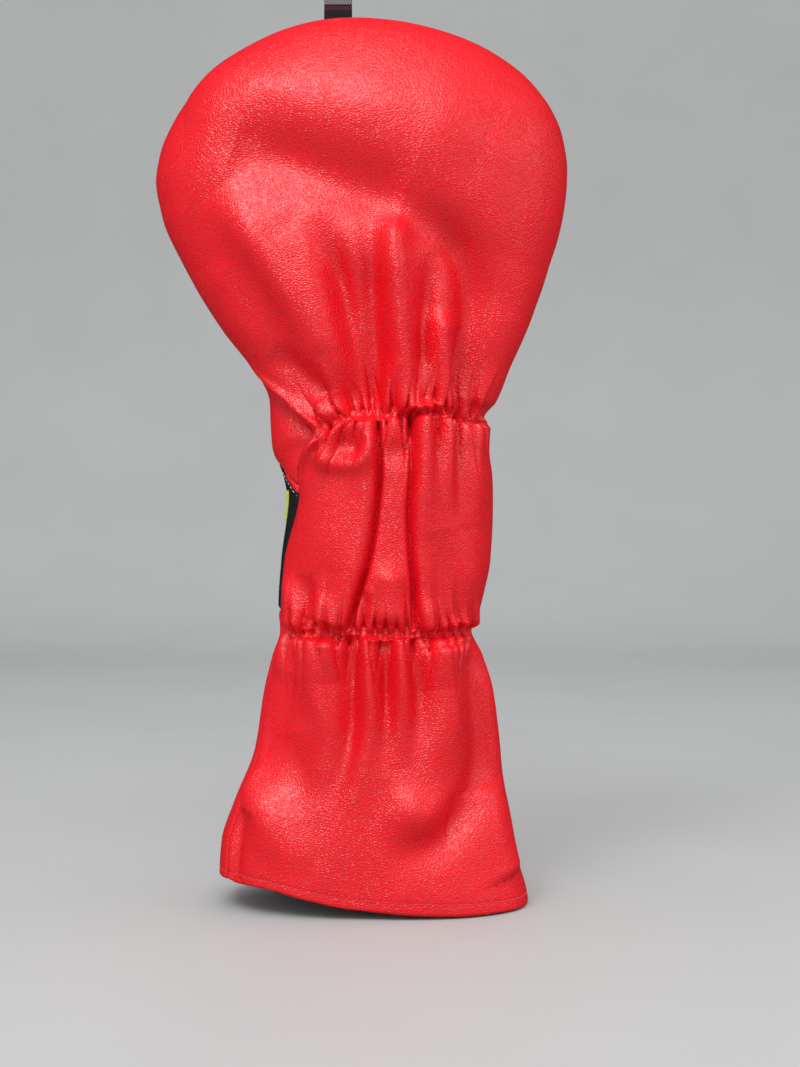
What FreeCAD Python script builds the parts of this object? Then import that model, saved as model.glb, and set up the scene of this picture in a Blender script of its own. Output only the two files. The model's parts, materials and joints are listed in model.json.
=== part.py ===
import FreeCAD, Part
import math
import os

# Driver head cover: a leather sock with a domed head pocket, a gathered neck and a flared skirt.
# Millimetres, +Z up. The origin is on the floor below the middle of the cover's box.
# The plain gathered back faces -Y and the decorated front faces +Y.

# Heights of the sections, stacked from the hem upwards.
skirt_height = 100.0
neck_height = 84.0
pocket_height = 89.0
crown_rise = 62.0

# Half widths (X) and half depths (Y) of the outer leather at each level.
hem_half_width = 58.5
hem_half_depth = 34.0
skirt_half_width = 48.2
skirt_half_depth = 31.5
lower_gather_half_width = 36.8
lower_gather_half_depth = 28.0
neck_half_width = 39.6
neck_half_depth = 31.0
upper_gather_half_width = 40.0
upper_gather_half_depth = 28.5
throat_half_width = 51.7
throat_half_depth = 31.5
shoulder_half_width = 68.4
shoulder_half_depth = 35.5
crown_half_width = 78.0
crown_half_depth = 38.0

# The crown leans to one side of the neck and skirt.
neck_offset = 6.0

# Layers, from the outside in.
leather_thickness = 1.2
padding_thickness = 4.0
lining_thickness = 2.5
elastic_thickness = 1.0
layer_clearance = 0.15

# Gather rows: the leather flexes over this height, centred on each row.
flex_height = 20.0
flex_clearance = 0.3
elastic_width = 8.0

# Seams and hem.
seam_y = 2.0
seam_clearance = 0.1
hem_turn_up = 12.0
throat_seam_drop = 12.0
throat_seam_margin = 3.5

# Stitches.
stitch_length = 2.6
stitch_pitch = 3.6
stitch_radius = 0.3
hem_stitch_height = 4.5
throat_stitch_offset = 2.0
pleat_pitch = 4.2

# Raised embroidery on the front neck panel: a row of leaning bars.
motif_thickness = 0.8
motif_height = 12.0
motif_level = 149.0
motif_bar_width = 7.0
motif_bar_pitch = 12.0
motif_bar_count = 6
motif_lean = 5.0

# Woven tab folded double and sewn into the crown seam.
tab_x = -9.0
tab_width = 10.6
tab_length = 23.0
tab_tape_thickness = 0.8
tab_fold_gap = 0.3
tab_root_depth = leather_thickness + padding_thickness
tab_clearance = 0.3

lower_gather_level = skirt_height
upper_gather_level = skirt_height + neck_height
crown_level = upper_gather_level + pocket_height
crown_top = crown_level + crown_rise
neck_level = (lower_gather_level + upper_gather_level) / 2
half_flex = flex_height / 2

padding_inset = leather_thickness + layer_clearance
pocket_lining_inset = padding_inset + padding_thickness + layer_clearance
sleeve_lining_inset = 2 * (leather_thickness + layer_clearance)

# Level, half width, half depth and middle x of the outer leather, from the hem upwards.
profile = [
    (0.0, hem_half_width, hem_half_depth, neck_offset),
    (skirt_height * 0.5, skirt_half_width, skirt_half_depth, neck_offset),
    (lower_gather_level, lower_gather_half_width, lower_gather_half_depth, neck_offset),
    (neck_level, neck_half_width, neck_half_depth, neck_offset),
    (upper_gather_level, upper_gather_half_width, upper_gather_half_depth, neck_offset),
    (upper_gather_level + pocket_height * 0.25, throat_half_width, throat_half_depth, neck_offset * 0.7),
    (upper_gather_level + pocket_height * 0.6, shoulder_half_width, shoulder_half_depth, neck_offset * 0.2),
    (crown_level, crown_half_width, crown_half_depth, 0.0),
]
section_step = 9.0
dome_step = 10
dome_last_angle = 86
overrun = 5.0
reach = 2 * crown_top


def slope(index, column):
    """Slope of one profile column at a level: none at its highs, lows and ends."""
    if index in (0, len(profile) - 1):
        return 0.0
    low, here, high = profile[index - 1:index + 2]
    below = (here[column] - low[column]) / (here[0] - low[0])
    above = (high[column] - here[column]) / (high[0] - here[0])
    if below * above <= 0:
        return 0.0
    return 2 * below * above / (below + above)


def profile_at(z, column):
    """A profile column at any height, by a cubic between the levels on each side."""
    z = min(max(z, 0.0), crown_level)
    index = max(i for i in range(len(profile) - 1) if profile[i][0] <= z)
    low, high = profile[index], profile[index + 1]
    span = high[0] - low[0]
    t = (z - low[0]) / span
    start = (1 + 2 * t) * (1 - t) ** 2 * low[column]
    end = t * t * (3 - 2 * t) * high[column]
    bend = t * (1 - t) * ((1 - t) * slope(index, column) - t * slope(index + 1, column))
    return start + end + span * bend


def ellipse_wire(x, z, half_width, half_depth):
    """A level ellipse whose long axis lies along X."""
    ellipse = Part.Ellipse(FreeCAD.Vector(x, 0, z), half_width, half_depth)
    return Part.Wire([ellipse.toShape()])


envelopes = {}


def envelope(inset):
    """Solid inside the cover's outer face moved in by inset, run on below the hem."""
    if inset not in envelopes:
        count = math.ceil((crown_level + overrun) / section_step)
        levels = [-overrun + i * (crown_level + overrun) / count for i in range(count)]
        wires = [
            ellipse_wire(profile_at(z, 3), z, profile_at(z, 1) - inset, profile_at(z, 2) - inset)
            for z in levels
        ]
        for angle in [*range(0, dome_last_angle, dome_step), dome_last_angle]:
            shrink = math.cos(math.radians(angle))
            z = crown_level + (crown_rise - inset) * math.sin(math.radians(angle))
            half_width = (crown_half_width - inset) * shrink
            half_depth = (crown_half_depth - inset) * shrink
            wires.append(ellipse_wire(0, z, half_width, half_depth))
        envelopes[inset] = Part.makeLoft(wires, True)
    return envelopes[inset]


def slab(low, high, y_low=-reach, y_high=reach):
    """A wide box between two heights and two depths."""
    corner = FreeCAD.Vector(-reach, y_low, low)
    return Part.makeBox(2 * reach, y_high - y_low, high - low, corner)


def back_slab(low, high):
    """The part of a level slab behind the side seams."""
    return slab(low, high, y_high=seam_y - seam_clearance / 2)


def front_slab(low, high):
    """The part of a level slab in front of the side seams."""
    return slab(low, high, y_low=seam_y + seam_clearance / 2)


def layer(inset, thickness, region):
    """One layer of the cover's wall, kept inside a region."""
    return envelope(inset).common(region).cut(envelope(inset + thickness))


def leather(region):
    """The outer leather inside a region."""
    return layer(0.0, leather_thickness, region)


def surface_point(angle, z, outset):
    """A point beside the outer leather at an angle about the vertical, 0 along +X."""
    x = profile_at(z, 3) + (profile_at(z, 1) + outset) * math.cos(angle)
    y = (profile_at(z, 2) + outset) * math.sin(angle)
    return FreeCAD.Vector(x, y, z)


def even_angles(z, start, end, pitch):
    """Angles from start to end, a pitch apart along the ellipse at height z."""
    angles = [start]
    steps = 720
    walked = 0.0
    for i in range(steps):
        low = start + (end - start) * i / steps
        high = start + (end - start) * (i + 1) / steps
        walked += (surface_point(high, z, 0) - surface_point(low, z, 0)).Length
        if walked >= pitch:
            angles.append(high)
            walked -= pitch
    return angles


def stitch(start, end):
    """One thread stitch, as a straight round bar."""
    way = end - start
    return Part.makeCylinder(stitch_radius, way.Length, start, way)


def stitch_row(height_at, start, end, pitch, length):
    """Stitches side by side along a line on the leather, whose height follows the angle."""
    outset = 1.5 * stitch_radius
    stitches = []
    for angle in even_angles(height_at(start), start, end, pitch)[:-1]:
        z = height_at(angle)
        here = surface_point(angle, z, outset)
        ahead = surface_point(angle + 0.02, height_at(angle + 0.02), outset)
        way = (ahead - here).normalize()
        stitches.append(stitch(here, here + way * length))
    return Part.makeCompound(stitches)


def side_angle(z):
    """Angle of the side seam at a height, measured from +X."""
    return math.asin(seam_y / profile_at(z, 2))


def throat_seam_height(angle):
    """Height of the arched seam between the red crown front and the black neck panel."""
    middle = upper_gather_level - half_flex - throat_seam_margin
    return middle - throat_seam_drop * math.cos(angle) ** 2


def throat_cutter():
    """Everything below the arched seam, as a block."""
    top = [
        FreeCAD.Vector(neck_offset + neck_half_width * math.cos(angle), -reach, throat_seam_height(angle))
        for angle in (0.0, math.pi / 2, math.pi)
    ]
    arch = Part.Arc(*top).toShape()
    right_foot = FreeCAD.Vector(top[0].x, -reach, 0)
    left_foot = FreeCAD.Vector(top[2].x, -reach, 0)
    sides = Part.makePolygon([top[2], left_foot, right_foot, top[0]])
    face = Part.Face(Part.Wire([arch, *sides.Edges]))
    return face.extrude(FreeCAD.Vector(0, 2 * reach, 0))


def crown_slot():
    """The gap in the crown seam that the folded tape passes through."""
    width = tab_width + 2 * tab_clearance
    depth = 2 * tab_tape_thickness + tab_fold_gap + 2 * tab_clearance
    corner = FreeCAD.Vector(tab_x - width / 2, seam_y - depth / 2, crown_top - 2 * tab_root_depth)
    return Part.makeBox(width, depth, 3 * tab_root_depth, corner)


def pocket_pieces():
    """Leather, padding and lining of the head pocket."""
    low = upper_gather_level + half_flex
    back = back_slab(low, reach)
    front = front_slab(low, reach)
    slot = crown_slot()
    return {
        "crown_back_leather": leather(back).cut(slot),
        "crown_front_leather": leather(front).cut(slot),
        "crown_back_padding": layer(padding_inset, padding_thickness, back).cut(slot),
        "crown_front_padding": layer(padding_inset, padding_thickness, front).cut(slot),
        "crown_lining": layer(pocket_lining_inset, lining_thickness, slab(low, reach)),
    }


def neck_pieces():
    """Leather and lining of the neck between the two gather rows."""
    low = lower_gather_level + half_flex
    high = upper_gather_level - half_flex
    front = leather(front_slab(low, high))
    return {
        "neck_back_leather": leather(back_slab(low, high)),
        "throat_front_leather": front.cut(throat_cutter()),
        "neck_front_panel": front.common(throat_cutter()),
        "neck_lining": layer(sleeve_lining_inset, lining_thickness, slab(low, high)),
    }


def skirt_pieces():
    """Leather, turned-up hem and lining of the skirt."""
    high = lower_gather_level - half_flex
    lining_low = hem_turn_up / 2
    return {
        "skirt_back_leather": leather(back_slab(0, high)),
        "skirt_front_leather": leather(front_slab(0, high)),
        "hem_turn_up": layer(padding_inset, leather_thickness, slab(0, hem_turn_up)),
        "skirt_lining": layer(sleeve_lining_inset, lining_thickness, slab(lining_low, high)),
    }


def flex_pieces(name, level, clear_below, clear_above):
    """Leather, elastic and lining that bend at one gather row."""
    low = level - half_flex + clear_below
    high = level + half_flex - clear_above
    band = back_slab(level - elastic_width / 2, level + elastic_width / 2)
    start = math.pi + side_angle(level)
    end = 2 * math.pi - side_angle(level)
    threads = stitch_row(lambda angle: level, start, end, pleat_pitch, stitch_length)
    return {
        name + "_gather_leather": leather(back_slab(low, high)),
        name + "_flex_leather": leather(front_slab(low, high)),
        name + "_elastic": layer(padding_inset, elastic_thickness, band),
        name + "_gather_thread": threads,
        name + "_flex_lining": layer(sleeve_lining_inset, lining_thickness, slab(low, high)),
    }


def motif():
    """Leaning bars of raised embroidery across the black neck panel."""
    skin = layer(-layer_clearance - motif_thickness, motif_thickness, front_slab(0, reach))
    half_row = (motif_bar_count - 1) / 2
    bars = []
    for i in range(motif_bar_count):
        x = neck_offset + (i - half_row) * motif_bar_pitch - motif_bar_width / 2
        low = motif_level - motif_height / 2
        high = motif_level + motif_height / 2
        corners = [
            FreeCAD.Vector(x - motif_lean / 2, 0, low),
            FreeCAD.Vector(x - motif_lean / 2 + motif_bar_width, 0, low),
            FreeCAD.Vector(x + motif_lean / 2 + motif_bar_width, 0, high),
            FreeCAD.Vector(x + motif_lean / 2, 0, high),
        ]
        face = Part.Face(Part.makePolygon([*corners, corners[0]]))
        bars.append(skin.common(face.extrude(FreeCAD.Vector(0, reach, 0))))
    return Part.makeCompound(bars)


def seam_stitches():
    """Topstitching above the arched seam, on the seam's black side, and round the hem."""
    start = side_angle(neck_level)
    end = math.pi - start

    def above(angle):
        return throat_seam_height(angle) + throat_stitch_offset

    def below(angle):
        return throat_seam_height(angle) - throat_stitch_offset

    def hem(angle):
        return hem_stitch_height

    return {
        "throat_stitches_red": stitch_row(above, start, end, stitch_pitch, stitch_length),
        "throat_stitches_white": stitch_row(below, start, end, stitch_pitch, stitch_length),
        "hem_stitches": stitch_row(hem, 0, 2 * math.pi, stitch_pitch, stitch_length),
    }


def folded_tape(low, high, end_radius):
    """Two leaves of tape side by side, joined along one rounded end if it has a radius."""
    half = tab_tape_thickness + tab_fold_gap / 2
    corner = FreeCAD.Vector(tab_x - tab_width / 2, seam_y - half, low)
    block = Part.makeBox(tab_width, 2 * half, high - low, corner)
    slit_low = low + end_radius
    slit_corner = FreeCAD.Vector(corner.x, seam_y - tab_fold_gap / 2, slit_low)
    slit = Part.makeBox(tab_width, tab_fold_gap, high - end_radius - slit_low, slit_corner)
    if end_radius == 0:
        return block.cut(slit)
    ends = [edge for edge in block.Edges if edge.BoundBox.XLength > 0.5 * tab_width]
    return block.makeFillet(half * 0.98, ends).cut(slit)


def tab_pieces():
    """The woven tab above the crown and its two ends sewn into the seam."""
    half = tab_tape_thickness + tab_fold_gap / 2
    hinge = tab_hinge_height()
    root_top = hinge - half - tab_clearance
    return {
        "woven_tab": folded_tape(hinge - half, hinge + tab_length, half),
        "tab_root": folded_tape(crown_top - tab_root_depth, root_top, 0).common(envelope(-layer_clearance)),
    }


def tab_hinge_height():
    """Height of the axis that the tab swings about, just clear of the crown."""
    return crown_top + tab_tape_thickness + tab_fold_gap / 2 + 2 * tab_clearance


def all_pieces():
    """Every piece of the cover by name."""
    return {
        **pocket_pieces(),
        **neck_pieces(),
        **skirt_pieces(),
        **flex_pieces("upper", upper_gather_level, 0, flex_clearance),
        **flex_pieces("lower", lower_gather_level, flex_clearance, 0),
        "neck_motif": motif(),
        **seam_stitches(),
        **tab_pieces(),
    }


os.makedirs("parts", exist_ok=True)
for node, shape in all_pieces().items():
    shape.exportStep(f"parts/{node}.step")
    print(node, len(shape.Solids), "solids", round(shape.Volume), "mm3", shape.isValid())
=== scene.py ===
"""The look of a driver head cover: pebbled leather pocket, gathered neck and flared skirt.

Shapes are worked out in millimetres in the CAD frame and written to the meshes in metres. The gathered
back faces -Y, and the black neck panel with its embroidery faces +Y.
"""

import json
import logging
import math
from collections.abc import Callable
from dataclasses import dataclass, field
from enum import Enum
from functools import partial

import bmesh
import bpy
import numpy as np
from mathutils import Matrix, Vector


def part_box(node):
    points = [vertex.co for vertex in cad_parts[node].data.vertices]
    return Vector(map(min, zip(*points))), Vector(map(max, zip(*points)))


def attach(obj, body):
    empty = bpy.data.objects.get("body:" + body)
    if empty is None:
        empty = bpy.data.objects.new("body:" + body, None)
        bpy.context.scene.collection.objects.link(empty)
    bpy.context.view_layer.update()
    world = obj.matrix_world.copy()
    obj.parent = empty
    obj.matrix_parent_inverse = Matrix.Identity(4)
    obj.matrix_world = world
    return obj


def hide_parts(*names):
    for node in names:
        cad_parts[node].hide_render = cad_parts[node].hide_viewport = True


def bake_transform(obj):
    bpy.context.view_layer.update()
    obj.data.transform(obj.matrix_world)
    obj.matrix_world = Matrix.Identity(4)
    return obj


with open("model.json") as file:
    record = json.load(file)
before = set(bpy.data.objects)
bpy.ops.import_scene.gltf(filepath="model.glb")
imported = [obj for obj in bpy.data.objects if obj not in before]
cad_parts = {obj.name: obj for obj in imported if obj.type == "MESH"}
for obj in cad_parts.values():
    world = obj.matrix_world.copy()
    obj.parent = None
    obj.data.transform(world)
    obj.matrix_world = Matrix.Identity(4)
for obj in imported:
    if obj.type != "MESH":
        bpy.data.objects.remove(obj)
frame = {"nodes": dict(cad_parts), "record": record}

log = logging.getLogger("head_cover")

MM = 0.001
Points = np.ndarray
Colour = tuple[float, float, float]
NO_LENGTH = 1e-9


# ---------------------------------------------------------------- measuring the frame


@dataclass(frozen=True)
class Levels:
    """Heights of the cover's sections, in millimetres, read from the CAD frame."""

    lower_row: float
    upper_row: float
    widest: float
    crown: float

    @property
    def dome_run(self) -> float:
        """Length that the dome takes on the height scale, past its widest level."""
        return 1.4 * (self.crown - self.widest)


def joint_point(name: str) -> Vector:
    """Where a joint's axis passes, at rest.

    Args:
        name: The joint's name in the record.

    Returns:
        The point, in metres.
    """
    joints = frame["record"]["behaviour"]["joints"]
    return Vector(next(j["pos_m"] for j in joints if j["name"] == name))


def read_levels() -> Levels:
    """Measures the frame's gather rows, widest level and crown.

    Returns:
        The levels, in millimetres.
    """
    crown = frame["nodes"]["crown_back_leather"]
    widest = max(crown.data.vertices, key=lambda v: v.co.x).co.z
    return Levels(
        lower_row=joint_point("skirt_flex").z / MM,
        upper_row=joint_point("neck_flex").z / MM,
        widest=widest / MM,
        crown=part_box("crown_back_leather")[1].z / MM,
    )


LEVELS = read_levels()


# ---------------------------------------------------------------- the cover's shape


def smooth_curve(at: Points, knots: list[float], values: list[float]) -> Points:
    """Follows values through knots without overshooting.

    Args:
        at: Where to read the curve.
        knots: Rising positions of the known values.
        values: The known values.

    Returns:
        The curve's value at each position.
    """
    knot, value = np.asarray(knots, float), np.asarray(values, float)
    step = np.diff(knot)
    rise = np.diff(value) / step
    slope = np.zeros_like(value)
    both = rise[:-1] * rise[1:]
    total = rise[:-1] + rise[1:]
    slope[1:-1] = np.where(both > 0, 2 * both / np.where(total == 0, 1, total), 0)
    at = np.clip(at, knot[0], knot[-1])
    i = np.clip(np.searchsorted(knot, at) - 1, 0, len(step) - 1)
    t = (at - knot[i]) / step[i]
    ends = (1 + 2 * t) * (1 - t) ** 2 * value[i] + t * t * (3 - 2 * t) * value[i + 1]
    return ends + step[i] * t * (1 - t) * ((1 - t) * slope[i] - t * slope[i + 1])


def smooth_step(at: Points, low: float, high: float) -> Points:
    """Rises from 0 at low to 1 at high, with no corner at either end.

    Args:
        at: Where to read the step.
        low: Position of the step's foot.
        high: Position of its top.

    Returns:
        Values from 0 to 1.
    """
    t = np.clip((at - low) / (high - low), 0, 1)
    return t * t * (3 - 2 * t)


def bell(distance: Points, width: float) -> Points:
    """1 at no distance, falling smoothly to near 0 at twice the width."""
    return np.exp(-((distance / width) ** 2))


def unit(ways: Points) -> Points:
    """The same directions with length 1, and straight up where there is none."""
    length = np.linalg.norm(ways, axis=-1, keepdims=True)
    return np.where(length > NO_LENGTH, ways / np.maximum(length, NO_LENGTH), np.array([0.0, 0.0, 1.0]))


@dataclass(frozen=True)
class Station:
    """The outline at one height: its left and right edges and half its depth, in millimetres."""

    height: float
    left: float
    right: float
    depth: float


def make_stations(levels: Levels) -> tuple[Station, ...]:
    """Places the outline's stations between the frame's levels.

    Args:
        levels: The frame's levels.

    Returns:
        Stations from the hem up to the widest level.
    """
    skirt, neck = levels.lower_row, levels.upper_row - levels.lower_row
    low, up, pocket = levels.lower_row, levels.upper_row, levels.widest - levels.upper_row
    return (
        Station(0.0, -53.5, 63.0, 34.0),
        Station(0.17 * skirt, -52.8, 59.0, 33.5),
        Station(0.34 * skirt, -48.4, 55.4, 32.5),
        Station(0.57 * skirt, -40.4, 53.0, 31.0),
        Station(0.80 * skirt, -36.9, 49.9, 29.5),
        Station(0.93 * skirt, -33.8, 46.0, 28.5),
        Station(low + 2.0, -31.0, 42.4, 27.5),
        Station(low + 0.14 * neck, -31.6, 45.2, 28.8),
        Station(low + 0.34 * neck, -30.6, 48.8, 30.8),
        Station(low + 0.60 * neck, -28.0, 49.9, 31.0),
        Station(low + 0.72 * neck, -29.6, 49.8, 30.8),
        Station(low + 0.85 * neck, -33.8, 48.2, 30.0),
        Station(up - 2.0, -34.6, 47.0, 28.6),
        Station(up + 0.05 * pocket, -35.2, 51.0, 29.2),
        Station(up + 0.17 * pocket, -40.5, 55.6, 30.8),
        Station(up + 0.36 * pocket, -52.6, 62.8, 33.0),
        Station(up + 0.62 * pocket, -67.0, 70.8, 36.0),
        Station(up + 0.84 * pocket, -75.6, 76.2, 37.6),
        Station(levels.widest, -78.0, 77.8, 38.0),
    )


@dataclass(frozen=True)
class CoverShape:
    """The cover's smooth outer surface, before folds, as rings stacked up a height scale.

    The scale is the height in millimetres up to the widest level. Past it, the scale runs over the dome to
    its top. Below the hem's rolled edge it runs round the roll and up the inside.
    """

    levels: Levels
    stations: tuple[Station, ...]
    hem_radius: float = 1.5
    hem_lifts: tuple[tuple[float, float], ...] = (
        (-62, 11.2), (-37, 10.3), (-20, 6.9), (-3, 3.5), (26, 1.2), (52, 0.2), (66, 0.0),
    )
    crown_sink: float = 1.4
    crown_lean: float = 3.6
    shoulder_shift: float = 2.4
    hem_squareness: float = 0.26
    square_height: float = 55.0
    slack_height: float = 70.0

    def column(self, scale: Points, pick: Callable[[Station], float]) -> Points:
        """Reads one measurement of the stations along the height scale."""
        knots = [s.height for s in self.stations]
        return smooth_curve(scale, knots, [pick(s) for s in self.stations])

    def lift(self, x: Points, z: Points) -> Points:
        """How far the slack hem hangs above the floor: most at the left, none at the right."""
        raised = smooth_curve(x, [p[0] for p in self.hem_lifts], [p[1] for p in self.hem_lifts])
        return raised * np.clip(1 - z / self.slack_height, 0, 1) ** 2

    def place(self, turn: Points, scale: Points, inset: float = 0.0) -> Points:
        """Finds points on the surface.

        Args:
            turn: Angles about the vertical in radians, 0 along +X and pi along -X.
            scale: Positions on the height scale.
            inset: Distance inside the outer surface.

        Returns:
            One row of x, y and z for each pair, in millimetres.
        """
        left = self.column(scale, lambda s: s.left)
        right = self.column(scale, lambda s: s.right)
        depth = self.column(scale, lambda s: s.depth)
        rise = np.clip((scale - self.levels.widest) / self.levels.dome_run, 0, 1) * math.pi / 2
        roll = np.maximum((self.hem_radius - scale) / self.hem_radius, 0)
        bend = np.minimum(roll, math.pi)
        shrink = inset + self.hem_radius * (1 - np.cos(bend))
        half_width = ((right - left) / 2 - shrink) * np.cos(rise)
        lean = self.shoulder_shift * np.sin(2 * rise)
        centre = (left + right) / 2 - self.crown_lean * np.sin(rise) ** 8 + lean
        z = np.where(roll > 0, self.hem_radius * (1 - np.sin(bend)), scale)
        z = z + self.hem_radius * np.maximum(roll - math.pi, 0)
        dome = (self.levels.crown - self.crown_sink - self.levels.widest - inset) * np.sin(rise)
        z = np.where(rise > 0, self.levels.widest + dome, z)
        squareness = 1 - self.hem_squareness * (1 - smooth_step(scale, 0.0, self.square_height))
        across, deep = np.cos(turn), np.sin(turn)
        x = centre + half_width * np.sign(across) * np.abs(across) ** squareness
        y = (depth - shrink) * np.cos(rise) * np.sign(deep) * np.abs(deep) ** squareness
        return np.stack([x, y, z + self.lift(x, z)], axis=-1)

    def normal(self, turn: Points, scale: Points) -> Points:
        """Finds which way the smooth surface faces.

        Args:
            turn: Angles about the vertical, in radians.
            scale: Positions on the height scale.

        Returns:
            One outward direction of length 1 for each pair.
        """
        nudge, climb = 0.01, 0.3
        across = self.place(turn + nudge, scale) - self.place(turn - nudge, scale)
        top = self.levels.widest + self.levels.dome_run
        up = self.place(turn, np.minimum(scale + climb, top)) - self.place(turn, scale - climb)
        return unit(np.cross(across, up))


SHAPE = CoverShape(LEVELS, make_stations(LEVELS))
TOP = LEVELS.widest + LEVELS.dome_run


# ---------------------------------------------------------------- seams between the panels


@dataclass(frozen=True)
class SideSeams:
    """Where the two side seams run, as angles from the left and right edges towards the back, in degrees.

    The sleeve sits twisted under the pocket, so its left seam comes round to the back.
    """

    heights: tuple[float, ...] = (0, 30, 60, 100, 130, 142, 152, 160, 168, 175, 185, 194, 205, 225)
    left_turns: tuple[float, ...] = (24, 20, 13, 10, 14, 21, 27, 31, 41, 53, 37, 22, 4, -5)
    right_turns: tuple[float, ...] = (14, 12, 8, 6, 8, 10, 12, 12, 12, 12, 10, 8, 6, 5)

    def left(self, scale: Points) -> Points:
        """Angle of the left seam up the height scale, in radians."""
        return math.pi + np.radians(smooth_curve(scale, self.heights, self.left_turns))

    def right(self, scale: Points) -> Points:
        """Angle of the right seam up the height scale, in radians."""
        return 2 * math.pi + np.radians(smooth_curve(scale, self.heights, self.right_turns))


SEAMS = SideSeams()


class Panel(Enum):
    """Which side of the side seams a panel lies on."""

    BACK = "back"
    FRONT = "front"

    def turns(self, across: Points, scale: Points) -> Points:
        """Angles of positions across the panel.

        Args:
            across: Shares of the panel's width, from one seam to the other.
            scale: Positions on the height scale.

        Returns:
            The angles, in radians.
        """
        if self is Panel.BACK:
            start, end = SEAMS.left(scale), SEAMS.right(scale)
        else:
            start, end = SEAMS.right(scale) - 2 * math.pi, SEAMS.left(scale)
        return start + across * (end - start)


def seam_distance(panel: Panel, across: Points, scale: Points) -> tuple[Points, Points]:
    """Measures over the leather to the side seams.

    Args:
        panel: The side of the cover.
        across: Shares of the panel's width.
        scale: Positions on the height scale.

    Returns:
        The distances to the left and to the right seam, in millimetres.
    """
    nudge = 0.01
    turn = panel.turns(across, scale)
    span = panel.turns(np.ones_like(across), scale) - panel.turns(np.zeros_like(across), scale)
    step = SHAPE.place(turn + nudge, scale) - SHAPE.place(turn - nudge, scale)
    speed = np.linalg.norm(step, axis=-1) / (2 * nudge)
    first, last = across * span * speed, (1 - across) * span * speed
    return (first, last) if panel is Panel.BACK else (last, first)


def arch_height(turn: Points) -> Points:
    """Height of the arched seam between the red crown front and the black neck panel."""
    foot = LEVELS.upper_row - 27.0
    middle = LEVELS.upper_row - 13.5
    share = np.abs(np.degrees(turn) - 112.0) / 95.0
    return middle - (middle - foot) * share**3


def arch_over(across: Points) -> Points:
    """Height of the arched seam at shares of the front's width."""
    return arch_height(Panel.FRONT.turns(across, np.full_like(across, LEVELS.upper_row - 20)))


# ---------------------------------------------------------------- folds in the leather


class FoldKind(Enum):
    """The section of a fold across its path."""

    SOFT = "soft"
    CREASE = "crease"
    ROLL = "roll"


SHORTEST_FADE = 6.0
SHORTEST_PATH = 12.0


@dataclass(frozen=True)
class Fold:
    """A ridge or valley that follows a path over the back, in millimetres.

    A positive height stands out. A roll is a rounded step that stands out on the left of its path.
    """

    path: tuple[tuple[float, float], ...]
    height: float
    width: float
    fade_in: float = 0.2
    fade_out: float = 0.2
    kind: FoldKind = FoldKind.SOFT

    def relief(self, x: Points, z: Points) -> Points:
        """Height of the fold over positions on the back."""
        fine = self.sampled()
        reach = 3.2 * self.width if self.kind is FoldKind.SOFT else 5.0 * self.width
        low, high = fine.min(axis=0) - reach, fine.max(axis=0) + reach
        near_by = (x > low[0]) & (x < high[0]) & (z > low[1]) & (z < high[1])
        total = np.zeros_like(x)
        total[near_by] = self.section(fine, x[near_by], z[near_by])
        return total

    def section(self, fine: Points, x: Points, z: Points) -> Points:
        """Works out the fold's height at positions that lie near it.

        Args:
            fine: Points along the fold's path.
            x: Positions across the cover.
            z: Heights.

        Returns:
            Distances out from the leather without the fold.
        """
        near = np.full(x.shape, 1e9)
        side = np.zeros(x.shape)
        along = np.zeros(x.shape)
        count = len(fine) - 1
        for i in range(count):
            start, way = fine[i], fine[i + 1] - fine[i]
            dx, dz = x - start[0], z - start[1]
            share = np.clip((dx * way[0] + dz * way[1]) / (way @ way), 0, 1)
            gap = np.hypot(dx - share * way[0], dz - share * way[1])
            closer = gap < near
            near = np.where(closer, gap, near)
            side = np.where(closer, np.sign(way[0] * dz - way[1] * dx), side)
            along = np.where(closer, (i + share) / count, along)
        length = float(np.hypot(*np.diff(fine, axis=0).T).sum())
        least = SHORTEST_FADE / max(length, SHORTEST_PATH)
        ends = self.fade(along, self.fade_in, least) * self.fade(1 - along, self.fade_out, least)
        if self.kind is FoldKind.SOFT:
            return self.height * ends * bell(near, self.width)
        if self.kind is FoldKind.CREASE:
            return self.height * ends / (1 + (near / (0.45 * self.width)) ** 2) ** 1.5
        rolled = np.where(side > 0, 1 - np.exp(-near / (0.22 * self.width)), 0)
        return self.height * ends * rolled * bell(near, 1.6 * self.width)

    @staticmethod
    def fade(share: Points, part: float, least: float) -> Points:
        """How far the fold has risen at a share of its path, or 1 throughout where its end is a round cap."""
        return np.ones_like(share) if part == 0 else smooth_step(share, 0.0, max(part, least))

    def sampled(self) -> Points:
        """The path as a smooth run of short steps."""
        points = np.asarray(self.path, float)
        gaps = np.hypot(*np.diff(points, axis=0).T)
        walk = np.concatenate([[0], np.cumsum(gaps)])
        at = np.linspace(0, walk[-1], 6 * len(points))
        return np.stack([smooth_curve(at, walk, points[:, 0]), smooth_curve(at, walk, points[:, 1])], axis=-1)


CREASE, ROLL = FoldKind.CREASE, FoldKind.ROLL

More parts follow.
